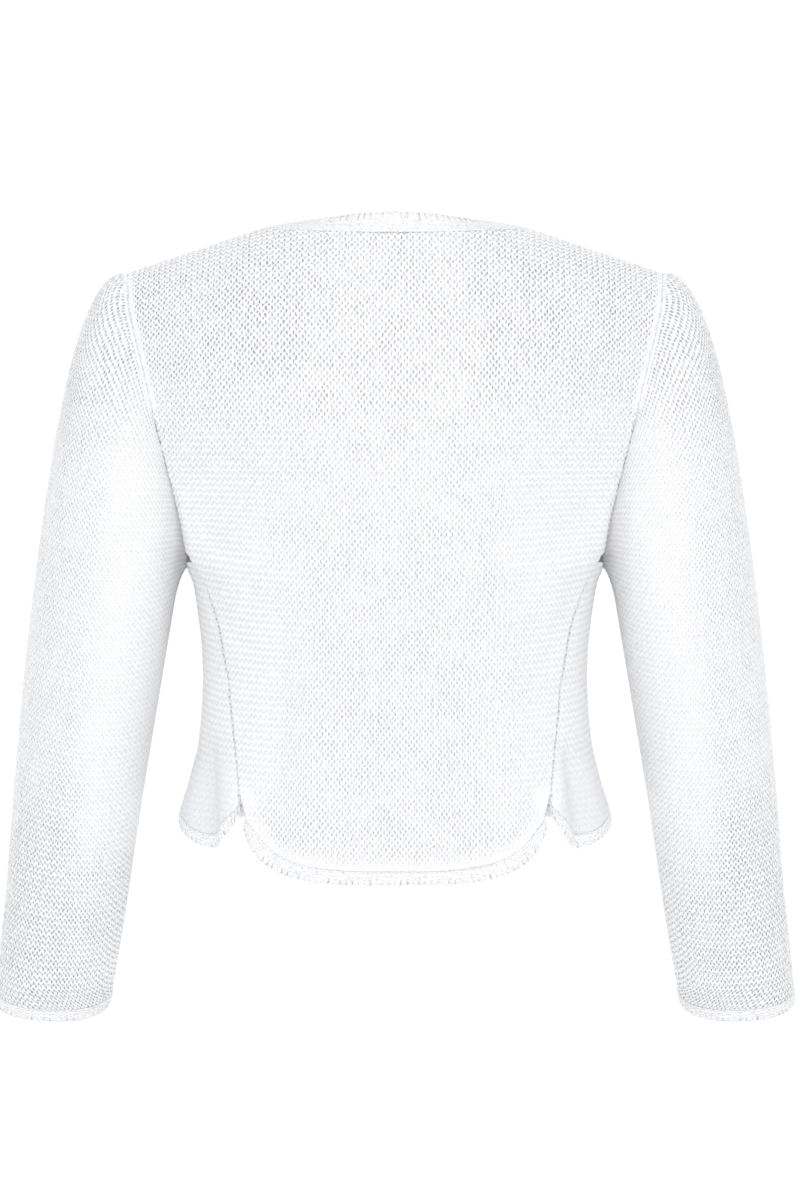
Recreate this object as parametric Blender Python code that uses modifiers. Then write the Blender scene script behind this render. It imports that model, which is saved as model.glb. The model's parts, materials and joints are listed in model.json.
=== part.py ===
# Cropped knitted cardigan, standing open on its own hollow form as if worn.
# Millimetres below, scaled to metres when the pieces are made.
#   +Z up, +Y the wearer's back, -Y the front, +X the wearer's left arm.
#   z = 0 is the level of the two neck points, where the shoulders carry it.
import math

import bmesh
import bpy
import numpy as np

MM = 0.001

# ---------------------------------------------------------------- driving sizes
WALL = 2.2            # knitted cloth
TRIM_WALL = 3.0       # crocheted edging, a little thicker than the cloth
GAP = 0.4             # clear space left at every seam
TRIM = 9.5            # width of the hem, front and cuff edging
NECK_BAND = 17.0      # width of the neck edging
ARCH_TOP = 11.5       # its upper edge at the centre back, and how far it has fallen at ARCH_X
ARCH_FALL = 9.6
ARCH_X = 94.0

UNDERARM_Z = -241.0
TIP_Z = -31.0         # shoulder tip
BLADE_Z = 0.5 * (UNDERARM_Z + TIP_Z)
ARM_RISE = TIP_Z - BLADE_Z
ARM_BACK = 47.0       # depth of the armhole behind and before the shoulder line
ARM_FRONT = 53.0
TIP_X = 191.5
SLOPE = 0.3346        # shoulder slope, 18.5 degrees
NECK_S = 0.51         # neck point, as a share of the shoulder width
RIDGE_Y = 5.0         # shoulder line, a little behind the middle
NECK_Z = 0.6
BACK_DROP = 5.6       # back neckline below the neck points
FRONT_DROP = 78.0     # front neckline below the neck points
FRONT_PART = 5.0      # half of the open gap at the centre front
CHEST_LEAN = 0.28     # how fast the chest comes forward below the neck
SHOULDER_SEAM = 0.3   # half of the clear space along the shoulder line
SEAM_CLEAR = 0.5      # sleeve to armhole

N_SUPER = 2.4         # squareness of the trunk below the arms
M_BACK = 2.3          # roundness of the back and front above them
M_FRONT = 2.7
KAPPA = 2.5

# trunk below the arms and its depth: z, half width, back depth, front depth
TRUNK = {
    "z":     (-80, -110, -136, -170, -205, -241, -251, -265, -280, -300, -320, -340, -366, -382, -396, -409, -425, -445, -480),
    "half":  (150, 150, 150, 150, 150, 148.5, 144.8, 142, 140, 137.8, 137.2, 137.8, 140.2, 143.0, 147.0, 151.0, 153.5, 154.5, 155),
    "back":  (94, 94, 94, 93.5, 92, 88.5, 87, 85, 83, 80.5, 79.2, 79.5, 82, 84.5, 87, 89.5, 92.5, 96, 101),
    "front": (70, 78.7, 86, 96, 107, 116.5, 118.5, 119.5, 118.5, 114.5, 110.5, 107.5, 106, 106.3, 107.2, 108.5, 110.5, 113, 118),
}
# armhole edge seen from behind: z, distance from the centre; the front is cut in by SCOOP
ARMHOLE = {
    "z": (-260, -241, -232, -215, -190, -163, -136, -99, -73, -49, -31, -10),
    "x": (148.5, 148.5, 149.2, 151.5, 157.0, 164.0, 170.8, 179.5, 186.0, 190.6, 191.5, 191.5),
}
SCOOP = 9.0
# back princess seam: z, distance from the centre
PRINCESS = {
    "z": (-228, -241, -251, -271, -288, -330, -360, -396, -420, -480),
    "x": (149.6, 142.5, 137.0, 129.0, 124.0, 117.5, 114.0, 110.5, 108.5, 106.0),
}
PRINCESS_TOP = -229.5
SIDE_TOP = -238.0     # where the side back's upper point is trimmed off
# sleeve below the arm: z of the ring's middle, x, half width, half depth, y, and how far
# the ring tips sideways and backwards, in degrees, and its squareness; the arm bends forward
SLEEVE = {
    "z": (-265, -301, -337, -373, -409, -445, -481, -517, -546),
    "x": (210.0, 215.2, 220.3, 225.3, 230.2, 234.7, 239.2, 244.6, 249.0),
    "w": (49.8, 48.9, 47.8, 46.6, 45.4, 44.2, 43.2, 42.4, 41.4),
    "d": (53.0, 52.0, 50.5, 49.0, 47.5, 46.2, 45.0, 44.0, 43.2),
    "y": (-2.0, -5.0, -10.0, -16.5, -24.5, -33.0, -42.0, -51.5, -59.5),
    "t": (6.7, 6.6, 6.4, 6.0, 5.4, 4.6, 3.6, 2.6, 1.5),
    "f": (4.0, 7.0, 10.0, 13.0, 15.5, 17.5, 19.0, 20.0, 20.5),
    "n": (2.0, 2.0, 2.0, 2.05, 2.1, 2.2, 2.3, 2.4, 2.5),
}
CUFF_WAY = (0.14, -0.27, -0.953)   # the way the cuff edging runs on
# rounded hem tabs: lowest point, top of the notch, depth of the tab's curve and how far
# its lowest point lies off the tab's middle
HEM = {
    "back":  {"low": -465.0, "notch": -410.0, "p": 3.5, "q": 2.4, "skew": 0.0},
    "side":  {"low": -441.0, "notch": -408.5, "p": 1.6, "q": 1.1, "skew": 0.42},
    "front": {"low": -425.0, "notch": -408.5, "p": 2.2, "q": 1.3, "skew": 0.0},
}
EDGE_S = 0.992        # where a tab's curve leaves the seam
# soft folds of the flared side tabs: angle round the side, width, depth, top, bottom
FOLDS = (
    {"side": 1, "at": 57.0, "wide": 9.0, "deep": -5.0, "top": -372.0, "low": -430.0},
    {"side": 1, "at": 74.0, "wide": 8.0, "deep": 2.5, "top": -385.0, "low": -425.0},
    {"side": -1, "at": 62.0, "wide": 10.0, "deep": -3.5, "top": -380.0, "low": -440.0},
    {"side": -1, "at": 38.0, "wide": 11.0, "deep": 2.5, "top": -380.0, "low": -445.0},
)

# rows and columns
LOW_LEVELS = (-160, -184, -207, -229.5, -238, -241, -249, -262, -280, -303, -326, -348, -368, -386, -400)
UPPER_STEPS = (0.0, 0.05, 0.14, 0.26, 0.4, 0.56, 0.72, 0.86)
TAB_ROWS = 4
CAP_ANGLES = (0, 18, 41, 66, 90)
CAP_ROWS = 9


# ---------------------------------------------------------------- small maths
def smooth(table, column, at):
    """Monotone cubic through a table's rows, for a number or an array."""
    xs = np.array(table["z"], float)
    ys = np.array(table[column], float)
    order = np.argsort(xs)
    xs, ys = xs[order], ys[order]
    h = np.diff(xs)
    d = np.diff(ys) / h
    m = np.zeros(len(xs))
    m[0], m[-1] = d[0], d[-1]
    for i in range(1, len(xs) - 1):
        if d[i - 1] * d[i] > 0:
            w1, w2 = 2 * h[i] + h[i - 1], h[i] + 2 * h[i - 1]
            m[i] = (w1 + w2) / (w1 / d[i - 1] + w2 / d[i])
    at = np.clip(np.asarray(at, float), xs[0], xs[-1])
    k = np.clip(np.searchsorted(xs, at, side="right") - 1, 0, len(h) - 1)
    t = (at - xs[k]) / h[k]
    return ((2 * t**3 - 3 * t**2 + 1) * ys[k] + (t**3 - 2 * t**2 + t) * h[k] * m[k]
            + (3 * t**2 - 2 * t**3) * ys[k + 1] + (t**3 - t**2) * h[k] * m[k + 1])


def ease(t):
    t = min(1.0, max(0.0, t))
    return t * t * (3 - 2 * t)


# ---------------------------------------------------------------- the body's form
def armhole_x(side, z):
    x = float(smooth(ARMHOLE, "x", z))
    if side < 0:
        rise = min(1.0, abs((z - BLADE_Z) / ARM_RISE))
        x -= SCOOP * (1 - rise * rise)
    return x


def across(s, n):
    return max(0.0, 1 - abs(s) ** n) ** (1 / n)


def fold_shift(side, s, z):
    angle = math.degrees(math.atan2(abs(s), across(s, N_SUPER) + 1e-9))
    shift = 0.0
    for f in FOLDS:
        if f["side"] == side:
            shift += (f["deep"] * math.exp(-((angle - f["at"]) / f["wide"]) ** 2)
                      * ease((f["top"] - z) / (f["top"] - f["low"])))
    return shift


def lower(side, s, z):
    """A point below the shoulder blades; s runs from the centre, 0, to the edge, 1."""
    m = M_BACK if side > 0 else M_FRONT
    depth = float(smooth(TRUNK, "back" if side > 0 else "front", z))
    if z > UNDERARM_Z:
        rise = (z - BLADE_Z) / ARM_RISE
        edge_x = armhole_x(side, z)
        edge_y = (ARM_BACK if side > 0 else ARM_FRONT) * math.sqrt(max(0.0, 1 - rise * rise))
        kappa = max(0.0, -rise) ** KAPPA
    else:
        edge_x = float(smooth(TRUNK, "half", z))
        edge_y, kappa = 0.0, 1.0
    k = kappa * across(s, N_SUPER) + (1 - kappa) * (1 - abs(s) ** m)
    hold = abs(s) ** (m + 14 * kappa)
    x, y = s * edge_x, edge_y * hold + depth * k
    push = fold_shift(side, s, z)
    r = math.hypot(x, y)
    x, y = x * (1 + push / r), y * (1 + push / r)
    return x, side * y, z


def ridge(s):
    """The shoulder line, and above the neck opening the form it would have gone on to."""
    z = TIP_Z + TIP_X * (1 - abs(s)) * SLOPE
    lift = max(0.0, 1 - (abs(s) / NECK_S) ** 2) ** 2
    return z, lift


def column(side, s):
    """Column s of the upper form: y and z of its top, its lean and its reach in y."""
    m = M_BACK if side > 0 else M_FRONT
    z_r, lift = ridge(s)
    edge = ARM_BACK if side > 0 else ARM_FRONT
    depth = float(smooth(TRUNK, "back" if side > 0 else "front", BLADE_Z))
    y_b = edge + (depth - edge) * (1 - abs(s) ** m)
    if side > 0:
        y_r, z_r, lean = RIDGE_Y - 80 * lift, z_r + 57 * lift, 0.0
    else:
        y_r, lean = -RIDGE_Y, CHEST_LEAN * (1 - abs(s) ** m)
    return y_r, z_r, lean, y_b - y_r - lean * (z_r - BLADE_Z)


def upper(side, s, theta):
    """A point above the blades; theta runs from the shoulder line, 0, to the blades."""
    y_r, z_r, lean, reach = column(side, s)
    z = BLADE_Z + (z_r - BLADE_Z) * math.cos(theta)
    y = y_r + reach * math.sin(theta) + lean * (z_r - z)
    level = BLADE_Z + ARM_RISE * math.cos(theta)
    return s * armhole_x(side, level), side * y, z


def neck_theta(side, s):
    """Where column s ends: at the shoulder seam, or where the neckline crosses it."""
    y_r, z_r, lean, reach = column(side, s)
    seam = SHOULDER_SEAM / reach
    if abs(s) >= NECK_S:
        return seam
    if side > 0:
        z_n = NECK_Z - BACK_DROP * (1 - (abs(s) / NECK_S) ** 2)
    else:
        z_n = NECK_Z - FRONT_DROP * (1 - (abs(s) / NECK_S) ** 2.2) ** (1 / 2.2)
    return max(seam, math.acos(min(1.0, (z_n - BLADE_Z) / (z_r - BLADE_Z))))


def princess_s(z):
    return float(smooth(PRINCESS, "x", z)) / float(smooth(TRUNK, "half", z) if z <= UNDERARM_Z else armhole_x(1, z))


# ---------------------------------------------------------------- making solids
def finish(name, color, rough, parts):
    mat = bpy.data.materials.new(name + "_yarn")
    mat.use_nodes = True
    shader = mat.node_tree.nodes["Principled BSDF"]
    shader.inputs["Base Color"].default_value = (*color, 1.0)
    shader.inputs["Roughness"].default_value = rough
    shader.inputs["Metallic"].default_value = 0.0
    parts.data.materials.append(mat)


def shell(name, rows, wall, closed=False, color=(0.93, 0.93, 0.94), rough=0.9):
    """Loft an open sheet through rows of points, each row from one edge to the other,
    and give it its thickness."""
    bm = bmesh.new()
    verts = [[bm.verts.new([c * MM for c in p]) for p in row] for row in rows]
    wide = len(verts[0])
    for a, b in zip(verts, verts[1:]):
        for j in range(wide if closed else wide - 1):
            bm.faces.new((a[j], a[(j + 1) % wide], b[(j + 1) % wide], b[j]))
    mesh = bpy.data.meshes.new(name)
    bm.to_mesh(mesh)
    bm.free()
    obj = bpy.data.objects.new(name, mesh)
    CARDIGAN.objects.link(obj)
    obj.parent = BODY
    wall_mod = obj.modifiers.new("Wall", "SOLIDIFY")
    wall_mod.thickness = wall * MM
    wall_mod.offset = 0.0
    wall_mod.use_even_offset = True
    mesh.shade_smooth()
    finish(name, color, rough, obj)
    return obj


def mirror_rows(rows):
    """The other side's piece: x turned over, and each row read backwards."""
    return [[(-x, y, z) for x, y, z in reversed(row)] for row in rows]


# ---------------------------------------------------------------- tabs at the hem
def tab_height(kind, sigma, inner):
    """Height of a rounded tab's edge at share sigma, -1 to 1, across it: the edge of the
    cloth, or of the edging round it."""
    h = HEM[kind]
    top = h["notch"] if inner else h["notch"] - 6.0
    low = h["low"] + TRIM if inner else h["low"]
    p = h["p"] if inner else 1.1 * h["p"]
    at = EDGE_S * (sigma + h["skew"] * (1 - sigma * sigma))
    return top - (top - low) * max(0.0, 1 - abs(at) ** p) ** (1 / h["q"])


def tab_rows(kind, place, sigmas, half_wide, open_side=False):
    """The cloth's last rows, drawn down to the tab's curve, and the two edges of the
    edging. place(f, z) gives the point at share f, -1 to 1, across the panel. With
    open_side the edging stands outside the share -1 instead of within it."""
    top = LOW_LEVELS[-1]
    inner, outer = [], []
    for sg in sigmas:
        z_in, z_out = tab_height(kind, sg, True), tab_height(kind, sg, False)
        pull = (TRIM - 2.5) / half_wide * ease((HEM[kind]["notch"] - z_in) / 22.0)
        reach = -1.1 / half_wide
        if open_side and sg < 0:
            pull, reach = 0.0, (TRIM + GAP - 1.2) / half_wide
        inner.append((sg * (1 - pull), z_in))
        outer.append((sg * (1 + reach), z_out))
    cloth = []
    for i in range(1, TAB_ROWS + 1):
        t = i / TAB_ROWS
        cloth.append([place(sg + (f - sg) * ease(t), top + (z - top) * t)
                      for sg, (f, z) in zip(sigmas, inner)])
    near, far = [], []
    for (fi, zi), (fo, zo) in zip(inner, outer):
        du, dz = (fo - fi) * half_wide, zo - zi
        share = GAP / math.hypot(du, dz)
        near.append(place(fi + (fo - fi) * share, zi + dz * share))
        far.append(place(fo, zo))
    return cloth, near, far


# ---------------------------------------------------------------- scene
for old in list(bpy.data.objects):
    bpy.data.objects.remove(old, do_unlink=True)
CARDIGAN = bpy.data.collections.new("cardigan")
bpy.context.scene.collection.children.link(CARDIGAN)
BODY = bpy.data.objects.new("cardigan_origin", None)
BODY.empty_display_size = 0.05
CARDIGAN.objects.link(BODY)

EDGE_COLOR = (0.95, 0.95, 0.96)
SIDES = (("left", lambda r: r), ("right", mirror_rows))

# centre back: one panel from the neck to the rounded tab between the princess seams
neck_cols = [NECK_S * math.sin(0.5 * math.pi * k / 5) for k in range(6)]
arm_cols = [NECK_S + (1 - NECK_S) * math.sin(0.5 * math.pi * k / 4) for k in range(1, 5)]
half_cols = neck_cols + arm_cols
back_cols = [-c for c in reversed(half_cols[1:])] + half_cols
SEAM = 0.5 * GAP


def back_place(f, z):
    s_edge = princess_s(z) if z < PRINCESS_TOP else 1.0
    edge = s_edge - SEAM / 140.0
    return lower(1, f * edge, z)


rows = []
for i in range(len(UPPER_STEPS)):
    row = []
    for c in back_cols:
        top = neck_theta(1, c)
        theta = top + (0.5 * math.pi - top) * UPPER_STEPS[i]
        row.append(upper(1, c, theta))
    rows.append(row)
rows.append([lower(1, c, BLADE_Z) for c in back_cols])
for z in LOW_LEVELS:
    rows.append([back_place(c, z) for c in back_cols])
tab, near, far = tab_rows("back", back_place, back_cols, 104.0)
shell("back_centre", rows + tab, WALL)
shell("hem_edging_back", [near, far], TRIM_WALL, color=EDGE_COLOR, rough=0.85)


# side backs: from the underarm to the flared side tabs
def side_place(f, z):
    a = princess_s(z)
    ang = math.atan2(a, across(a, N_SUPER))
    arc = 100.0
    lo = ang + (SEAM + (0.4 if z > UNDERARM_Z else 0.0)) / arc
    hi = 0.5 * math.pi - SEAM / arc
    psi = lo + (hi - lo) * 0.5 * (1 + f)
    sn, cs = math.sin(psi), math.cos(psi)
    s = sn / (sn ** N_SUPER + cs ** N_SUPER) ** (1 / N_SUPER)
    return lower(1, min(1.0, s), z)


side_cols = [-1, -0.9, -0.68, -0.36, 0.0, 0.36, 0.68, 0.9, 1]
levels = [SIDE_TOP] + [z for z in LOW_LEVELS if z <= UNDERARM_Z]
rows = [[side_place(f, z) for f in side_cols] for z in levels]
tab, near, far = tab_rows("side", side_place, side_cols, 46.0)
for suffix, turn in SIDES:
    shell("side_back_" + suffix, turn(rows + tab), WALL)
    shell("hem_edging_side_" + suffix, turn([near, far]), TRIM_WALL, color=EDGE_COLOR, rough=0.85)

# fronts: from the centre edging to the side seam
FRONT_IN = FRONT_PART + TRIM + GAP


def front_place(f, z, inner=FRONT_IN):
    edge = float(smooth(TRUNK, "half", z)) if z <= UNDERARM_Z else armhole_x(-1, z)
    s0 = inner / edge
    lo = math.atan2(s0, across(s0, N_SUPER))
    if z <= UNDERARM_Z:
        hi = 0.5 * math.pi - SEAM / 110.0
    else:
        hi = 0.5 * math.pi
    psi = lo + (hi - lo) * f
    sn, cs = math.sin(psi), math.cos(psi)
    s = sn / (sn ** N_SUPER + cs ** N_SUPER) ** (1 / N_SUPER)
    return lower(-1, min(1.0, s), z)


def front_share(s):
    """The share across the front, at the blades' level, of body share s."""
    s0 = FRONT_IN / armhole_x(-1, BLADE_Z)
    lo = math.atan2(s0, across(s0, N_SUPER))
    return (math.atan2(s, across(s, N_SUPER)) - lo) / (0.5 * math.pi - lo)


def front_s(f):
    s0 = FRONT_IN / armhole_x(-1, BLADE_Z)
    lo = math.atan2(s0, across(s0, N_SUPER))
    psi = lo + (0.5 * math.pi - lo) * f
    sn, cs = math.sin(psi), math.cos(psi)
    return min(1.0, sn / (sn ** N_SUPER + max(0.0, cs) ** N_SUPER) ** (1 / N_SUPER))


neck_f = front_share(NECK_S)
front_cols = [neck_f * math.sin(0.5 * math.pi * k / 5) for k in range(5)] + [neck_f]
front_cols += [neck_f + (1 - neck_f) * math.sin(0.5 * math.pi * k / 5) for k in range(1, 6)]
rows = []
for i in range(len(UPPER_STEPS)):
    row = []
    for f in front_cols:
        s = front_s(f)
        top = neck_theta(-1, s)
        row.append(upper(-1, s, top + (0.5 * math.pi - top) * UPPER_STEPS[i]))
    rows.append(row)
rows.append([lower(-1, front_s(f), BLADE_Z) for f in front_cols])
for z in LOW_LEVELS:
    rows.append([front_place(f, z) for f in front_cols])

tab, near, far = tab_rows("front", lambda f, z: front_place(0.5 * (1 + f), z),
                          [2 * f - 1 for f in front_cols], 102.5, open_side=True)
rows += tab


def centre_edge(x, z):
    """A point of the front at distance x from the centre."""
    if z > BLADE_Z:
        s = x / armhole_x(-1, z)
        return upper(-1, s, math.acos(min(1.0, (z - BLADE_Z) / (ridge(s)[0] - BLADE_Z))))
    edge = float(smooth(TRUNK, "half", z)) if z <= UNDERARM_Z else armhole_x(-1, z)
    return lower(-1, x / edge, z)


# the front edging runs down the centre edge, round the corner and along the hem
down_in, down_out = [], []
for row in rows[:-1]:
    x, y, z = row[0]
    z -= 0.5 * GAP if row is rows[0] else 0.0
    down_in.append((x - GAP, y, z))
    down_out.append(centre_edge(FRONT_PART, z - (1.0 if row is rows[0] else 0.0)))
for suffix, turn in SIDES:
    shell("front_" + suffix, turn(rows), WALL)
    shell("front_edging_" + suffix, turn([down_in + near, down_out + far]), TRIM_WALL,
          color=EDGE_COLOR, rough=0.85)


# neck edging: carries the cloth's own slope on up from the neckline, all the way round
neck_run = [(-1, FRONT_PART / armhole_x(-1, -90.0))]
neck_run += [(-1, front_s(f)) for f in front_cols if f <= neck_f + 1e-9]
neck_run += [(1, s) for s in reversed(neck_cols[:-1])]
neck_run += [(side, -s) for side, s in reversed(neck_run[:-1])]
line = [np.array(upper(side, s, neck_theta(side, s))) for side, s in neck_run]
band = [[], [], []]
for i, (side, s) in enumerate(neck_run):
    along = line[min(i + 1, len(line) - 1)] - line[max(i - 1, 0)]
    theta = neck_theta(side, s)
    up_way = np.array(upper(side, s, theta)) - np.array(upper(side, s, theta + 0.01))
    out_way = np.array(upper(side, s + 0.004, theta)) - np.array(upper(side, s - 0.004, theta))
    face = np.cross(up_way, out_way)
    away = np.cross(face, along)
    away /= np.linalg.norm(away)
    if away.dot((-line[i][0], -line[i][1], 40.0)) < 0:
        away = -away
    upright = away + np.array((0.0, 0.0, 0.3 * max(0.0, 1 - (s / NECK_S) ** 2)))
    upright /= np.linalg.norm(upright)
    foot = line[i] + away * (GAP + 0.5 * (s / NECK_S) ** 8
                             + (0.3 + 1.2 * (s / NECK_S) ** 6 if side < 0 else 0.3 * abs(s / NECK_S)))
    inward = np.array((-foot[0], -foot[1], 0.0))
    inward /= np.linalg.norm(inward)
    for lean in np.linspace(0.0, 1.0, 41):
        low_way = away * (1 - lean) + inward * lean
        low_way /= np.linalg.norm(low_way)
        top_way = upright * (1 - lean) + inward * lean
        top_way /= np.linalg.norm(top_way)
        middle = foot + low_way * (0.45 * NECK_BAND)
        top = middle + top_way * (0.55 * NECK_BAND - GAP)
        if top[2] <= ARCH_TOP - ARCH_FALL * abs(top[0] / ARCH_X) ** 1.35:
            break
    for row, point in zip(band, (foot, middle, top)):
        row.append(tuple(point))
shell("neck_edging", band, TRIM_WALL, color=EDGE_COLOR, rough=0.85)


# sleeves: set into the armhole, down to a straight cuff
def armhole_point(phi):
    side = 1 if math.sin(phi) >= 0 else -1
    if math.cos(phi) >= 0:
        return upper(side, 1.0, math.acos(math.cos(phi)))
    return lower(side, 1.0, BLADE_Z + ARM_RISE * math.cos(phi))


def sleeve_ring(z, phi):
    mid = [float(smooth(SLEEVE, c, z)) for c in "xwdy"]
    c, s = (math.copysign(abs(t) ** (2 / float(smooth(SLEEVE, "n", z))), t)
            for t in (math.cos(phi), math.sin(phi)))
    tilt, tip = (math.radians(float(smooth(SLEEVE, c2, z))) for c2 in "tf")
    return (mid[0] + mid[1] * c * math.cos(tilt), mid[3] + mid[2] * s * math.cos(tip),
            z + mid[1] * c * math.sin(tilt) - mid[2] * s * math.sin(tip))


def cap_frame(phi):
    """Start of the sleeve at angle phi, clear of the armhole's edge, and its first way."""
    at = np.array(armhole_point(phi))
    along = np.array(armhole_point(phi + 0.02)) - np.array(armhole_point(phi - 0.02))
    side = 1 if math.sin(phi) >= 0 else -1
    if math.cos(phi) >= 0:
        inside = upper(side, 0.97, math.acos(math.cos(phi)))
    else:
        inside = lower(side, 0.97, BLADE_Z + ARM_RISE * math.cos(phi))
    face = np.cross(at - np.array(inside), along) * side
    if abs(math.cos(phi) + 1) < 0.01:
        face = np.array((1.0, 0.0, 0.0))
    face /= np.linalg.norm(face)
    if face[0] < 0:
        face = -face
    away = np.cross(along, face)
    away /= np.linalg.norm(away)
    if away.dot(at - np.array(inside) + np.array((0.0, 0.0, 4.0 * max(0.0, -math.cos(phi))))) < 0:
        away = -away
    way = np.array((1.0, 0.22 * math.sin(phi), 0.24 * max(0.0, math.cos(phi)) ** 2))
    way /= np.linalg.norm(way)
    turn = math.sqrt(max(0.0, 1 - way.dot(away) ** 2))
    clear = SEAM_CLEAR * (1 + 0.9 * max(0.0, -math.sin(phi)))
    return at + away * (clear + 0.5 * WALL * turn), way


def sleeve_cap(t, phi):
    start, way = cap_frame(phi)
    up = 0.5 * (1 + math.cos(phi))
    end = sleeve_ring(SLEEVE["z"][0], phi)
    pull, fall = 18 + 92 * up, 30 + 270 * up
    axis = (0.128, -0.06, -0.990)
    h = (2 * t**3 - 3 * t**2 + 1, t**3 - 2 * t**2 + t, 3 * t**2 - 2 * t**3, t**3 - t**2)
    return tuple(h[0] * p + h[1] * pull * w + h[2] * e + h[3] * fall * a
                 for p, w, e, a in zip(start, way, end, axis))


half_ring = [math.radians(a) for a in CAP_ANGLES]
half_ring += [math.acos((z - BLADE_Z) / ARM_RISE) for z in LOW_LEVELS if z > UNDERARM_Z]
angles = half_ring + [math.pi] + [2 * math.pi - a for a in reversed(half_ring[1:])]
rows = [[sleeve_cap((i / CAP_ROWS) ** 1.25, phi) for phi in angles] for i in range(CAP_ROWS)]
rows += [[sleeve_ring(z, phi) for phi in angles] for z in SLEEVE["z"]]
cuff = []
for run in (1.5 * GAP, TRIM):
    cuff.append([tuple(c + run * w for c, w in zip(sleeve_ring(SLEEVE["z"][-1], phi), CUFF_WAY))
                 for phi in angles])
for suffix, turn in SIDES:
    shell("sleeve_" + suffix, turn(rows), WALL, closed=True)
    shell("cuff_edging_" + suffix, turn(cuff), TRIM_WALL, closed=True, color=EDGE_COLOR, rough=0.85)
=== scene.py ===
# Looks of the cropped knitted cardigan: every panel is a thin shell on its solid's form,
# meshed stitch by stitch, with crocheted bands round its edges.
# Millimetres below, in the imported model's frame: +Z up, +Y the wearer's back.
import json
import math
import bmesh
import bpy
import numpy as np
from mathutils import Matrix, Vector
from mathutils.geometry import delaunay_2d_cdt

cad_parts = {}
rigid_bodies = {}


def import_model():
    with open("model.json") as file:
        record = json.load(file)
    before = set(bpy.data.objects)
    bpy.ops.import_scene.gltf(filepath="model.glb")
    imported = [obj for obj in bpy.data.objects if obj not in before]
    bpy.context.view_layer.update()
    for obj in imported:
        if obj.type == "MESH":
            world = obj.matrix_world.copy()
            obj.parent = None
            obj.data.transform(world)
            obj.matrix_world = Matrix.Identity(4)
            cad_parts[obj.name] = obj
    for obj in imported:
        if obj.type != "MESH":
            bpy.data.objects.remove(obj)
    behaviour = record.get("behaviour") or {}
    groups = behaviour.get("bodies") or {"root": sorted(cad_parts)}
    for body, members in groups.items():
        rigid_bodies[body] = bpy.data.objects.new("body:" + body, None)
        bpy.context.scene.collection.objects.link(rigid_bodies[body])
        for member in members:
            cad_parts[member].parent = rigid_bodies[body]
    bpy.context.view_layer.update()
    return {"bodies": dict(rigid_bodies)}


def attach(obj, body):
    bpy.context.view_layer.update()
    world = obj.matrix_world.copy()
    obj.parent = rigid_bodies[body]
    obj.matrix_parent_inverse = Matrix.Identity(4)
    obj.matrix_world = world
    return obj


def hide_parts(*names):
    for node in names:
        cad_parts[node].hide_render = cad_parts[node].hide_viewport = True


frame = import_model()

MM = 0.001
BODY = list(frame["bodies"])[0]

# ---------------------------------------------------------------- sizes shared with the solids
GAP = 0.4
TRIM = 9.5
NECK_BAND = 17.0
ARCH_TOP = 11.5
ARCH_FALL = 9.6
ARCH_X = 94.0
UNDERARM_Z = -241.0
TIP_Z = -31.0
BLADE_Z = 0.5 * (UNDERARM_Z + TIP_Z)
ARM_RISE = TIP_Z - BLADE_Z
ARM_BACK = 47.0
ARM_FRONT = 53.0
TIP_X = 191.5
SLOPE = 0.3346
NECK_S = 0.51
RIDGE_Y = 5.0
NECK_Z = 0.6
BACK_DROP = 5.6
FRONT_DROP = 78.0
FRONT_PART = 5.0
CHEST_LEAN = 0.28
SHOULDER_SEAM = 0.3
SEAM_CLEAR = 0.5
WALL = 2.2
N_SUPER = 2.4
M_BACK = 2.3
M_FRONT = 2.7
KAPPA = 2.5
TRUNK = {
    "z":     (-80, -110, -136, -170, -205, -241, -251, -265, -280, -300, -320, -340, -366, -382, -396, -409, -425, -445, -480),
    "half":  (150, 150, 150, 150, 150, 148.5, 144.8, 142, 140, 137.8, 137.2, 137.8, 140.2, 143.0, 147.0, 151.0, 153.5, 154.5, 155),
    "back":  (94, 94, 94, 93.5, 92, 88.5, 87, 85, 83, 80.5, 79.2, 79.5, 82, 84.5, 87, 89.5, 92.5, 96, 101),
    "front": (70, 78.7, 86, 96, 107, 116.5, 118.5, 119.5, 118.5, 114.5, 110.5, 107.5, 106, 106.3, 107.2, 108.5, 110.5, 113, 118),
}
ARMHOLE = {
    "z": (-260, -241, -232, -215, -190, -163, -136, -99, -73, -49, -31, -10),
    "x": (148.5, 148.5, 149.2, 151.5, 157.0, 164.0, 170.8, 179.5, 186.0, 190.6, 191.5, 191.5),
}
SCOOP = 9.0
PRINCESS = {
    "z": (-228, -241, -251, -271, -288, -330, -360, -396, -420, -480),
    "x": (149.6, 142.5, 137.0, 129.0, 124.0, 117.5, 114.0, 110.5, 108.5, 106.0),
}
PRINCESS_TOP = -229.5
SIDE_TOP = -238.0
SLEEVE = {
    "z": (-265, -301, -337, -373, -409, -445, -481, -517, -546),
    "x": (210.0, 215.2, 220.3, 225.3, 230.2, 234.7, 239.2, 244.6, 249.0),
    "w": (49.8, 48.9, 47.8, 46.6, 45.4, 44.2, 43.2, 42.4, 41.4),
    "d": (53.0, 52.0, 50.5, 49.0, 47.5, 46.2, 45.0, 44.0, 43.2),
    "y": (-2.0, -5.0, -10.0, -16.5, -24.5, -33.0, -42.0, -51.5, -59.5),
    "t": (6.7, 6.6, 6.4, 6.0, 5.4, 4.6, 3.6, 2.6, 1.5),
    "f": (4.0, 7.0, 10.0, 13.0, 15.5, 17.5, 19.0, 20.0, 20.5),
    "n": (2.0, 2.0, 2.0, 2.05, 2.1, 2.2, 2.3, 2.4, 2.5),
}
CUFF_WAY = (0.14, -0.27, -0.953)
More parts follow.
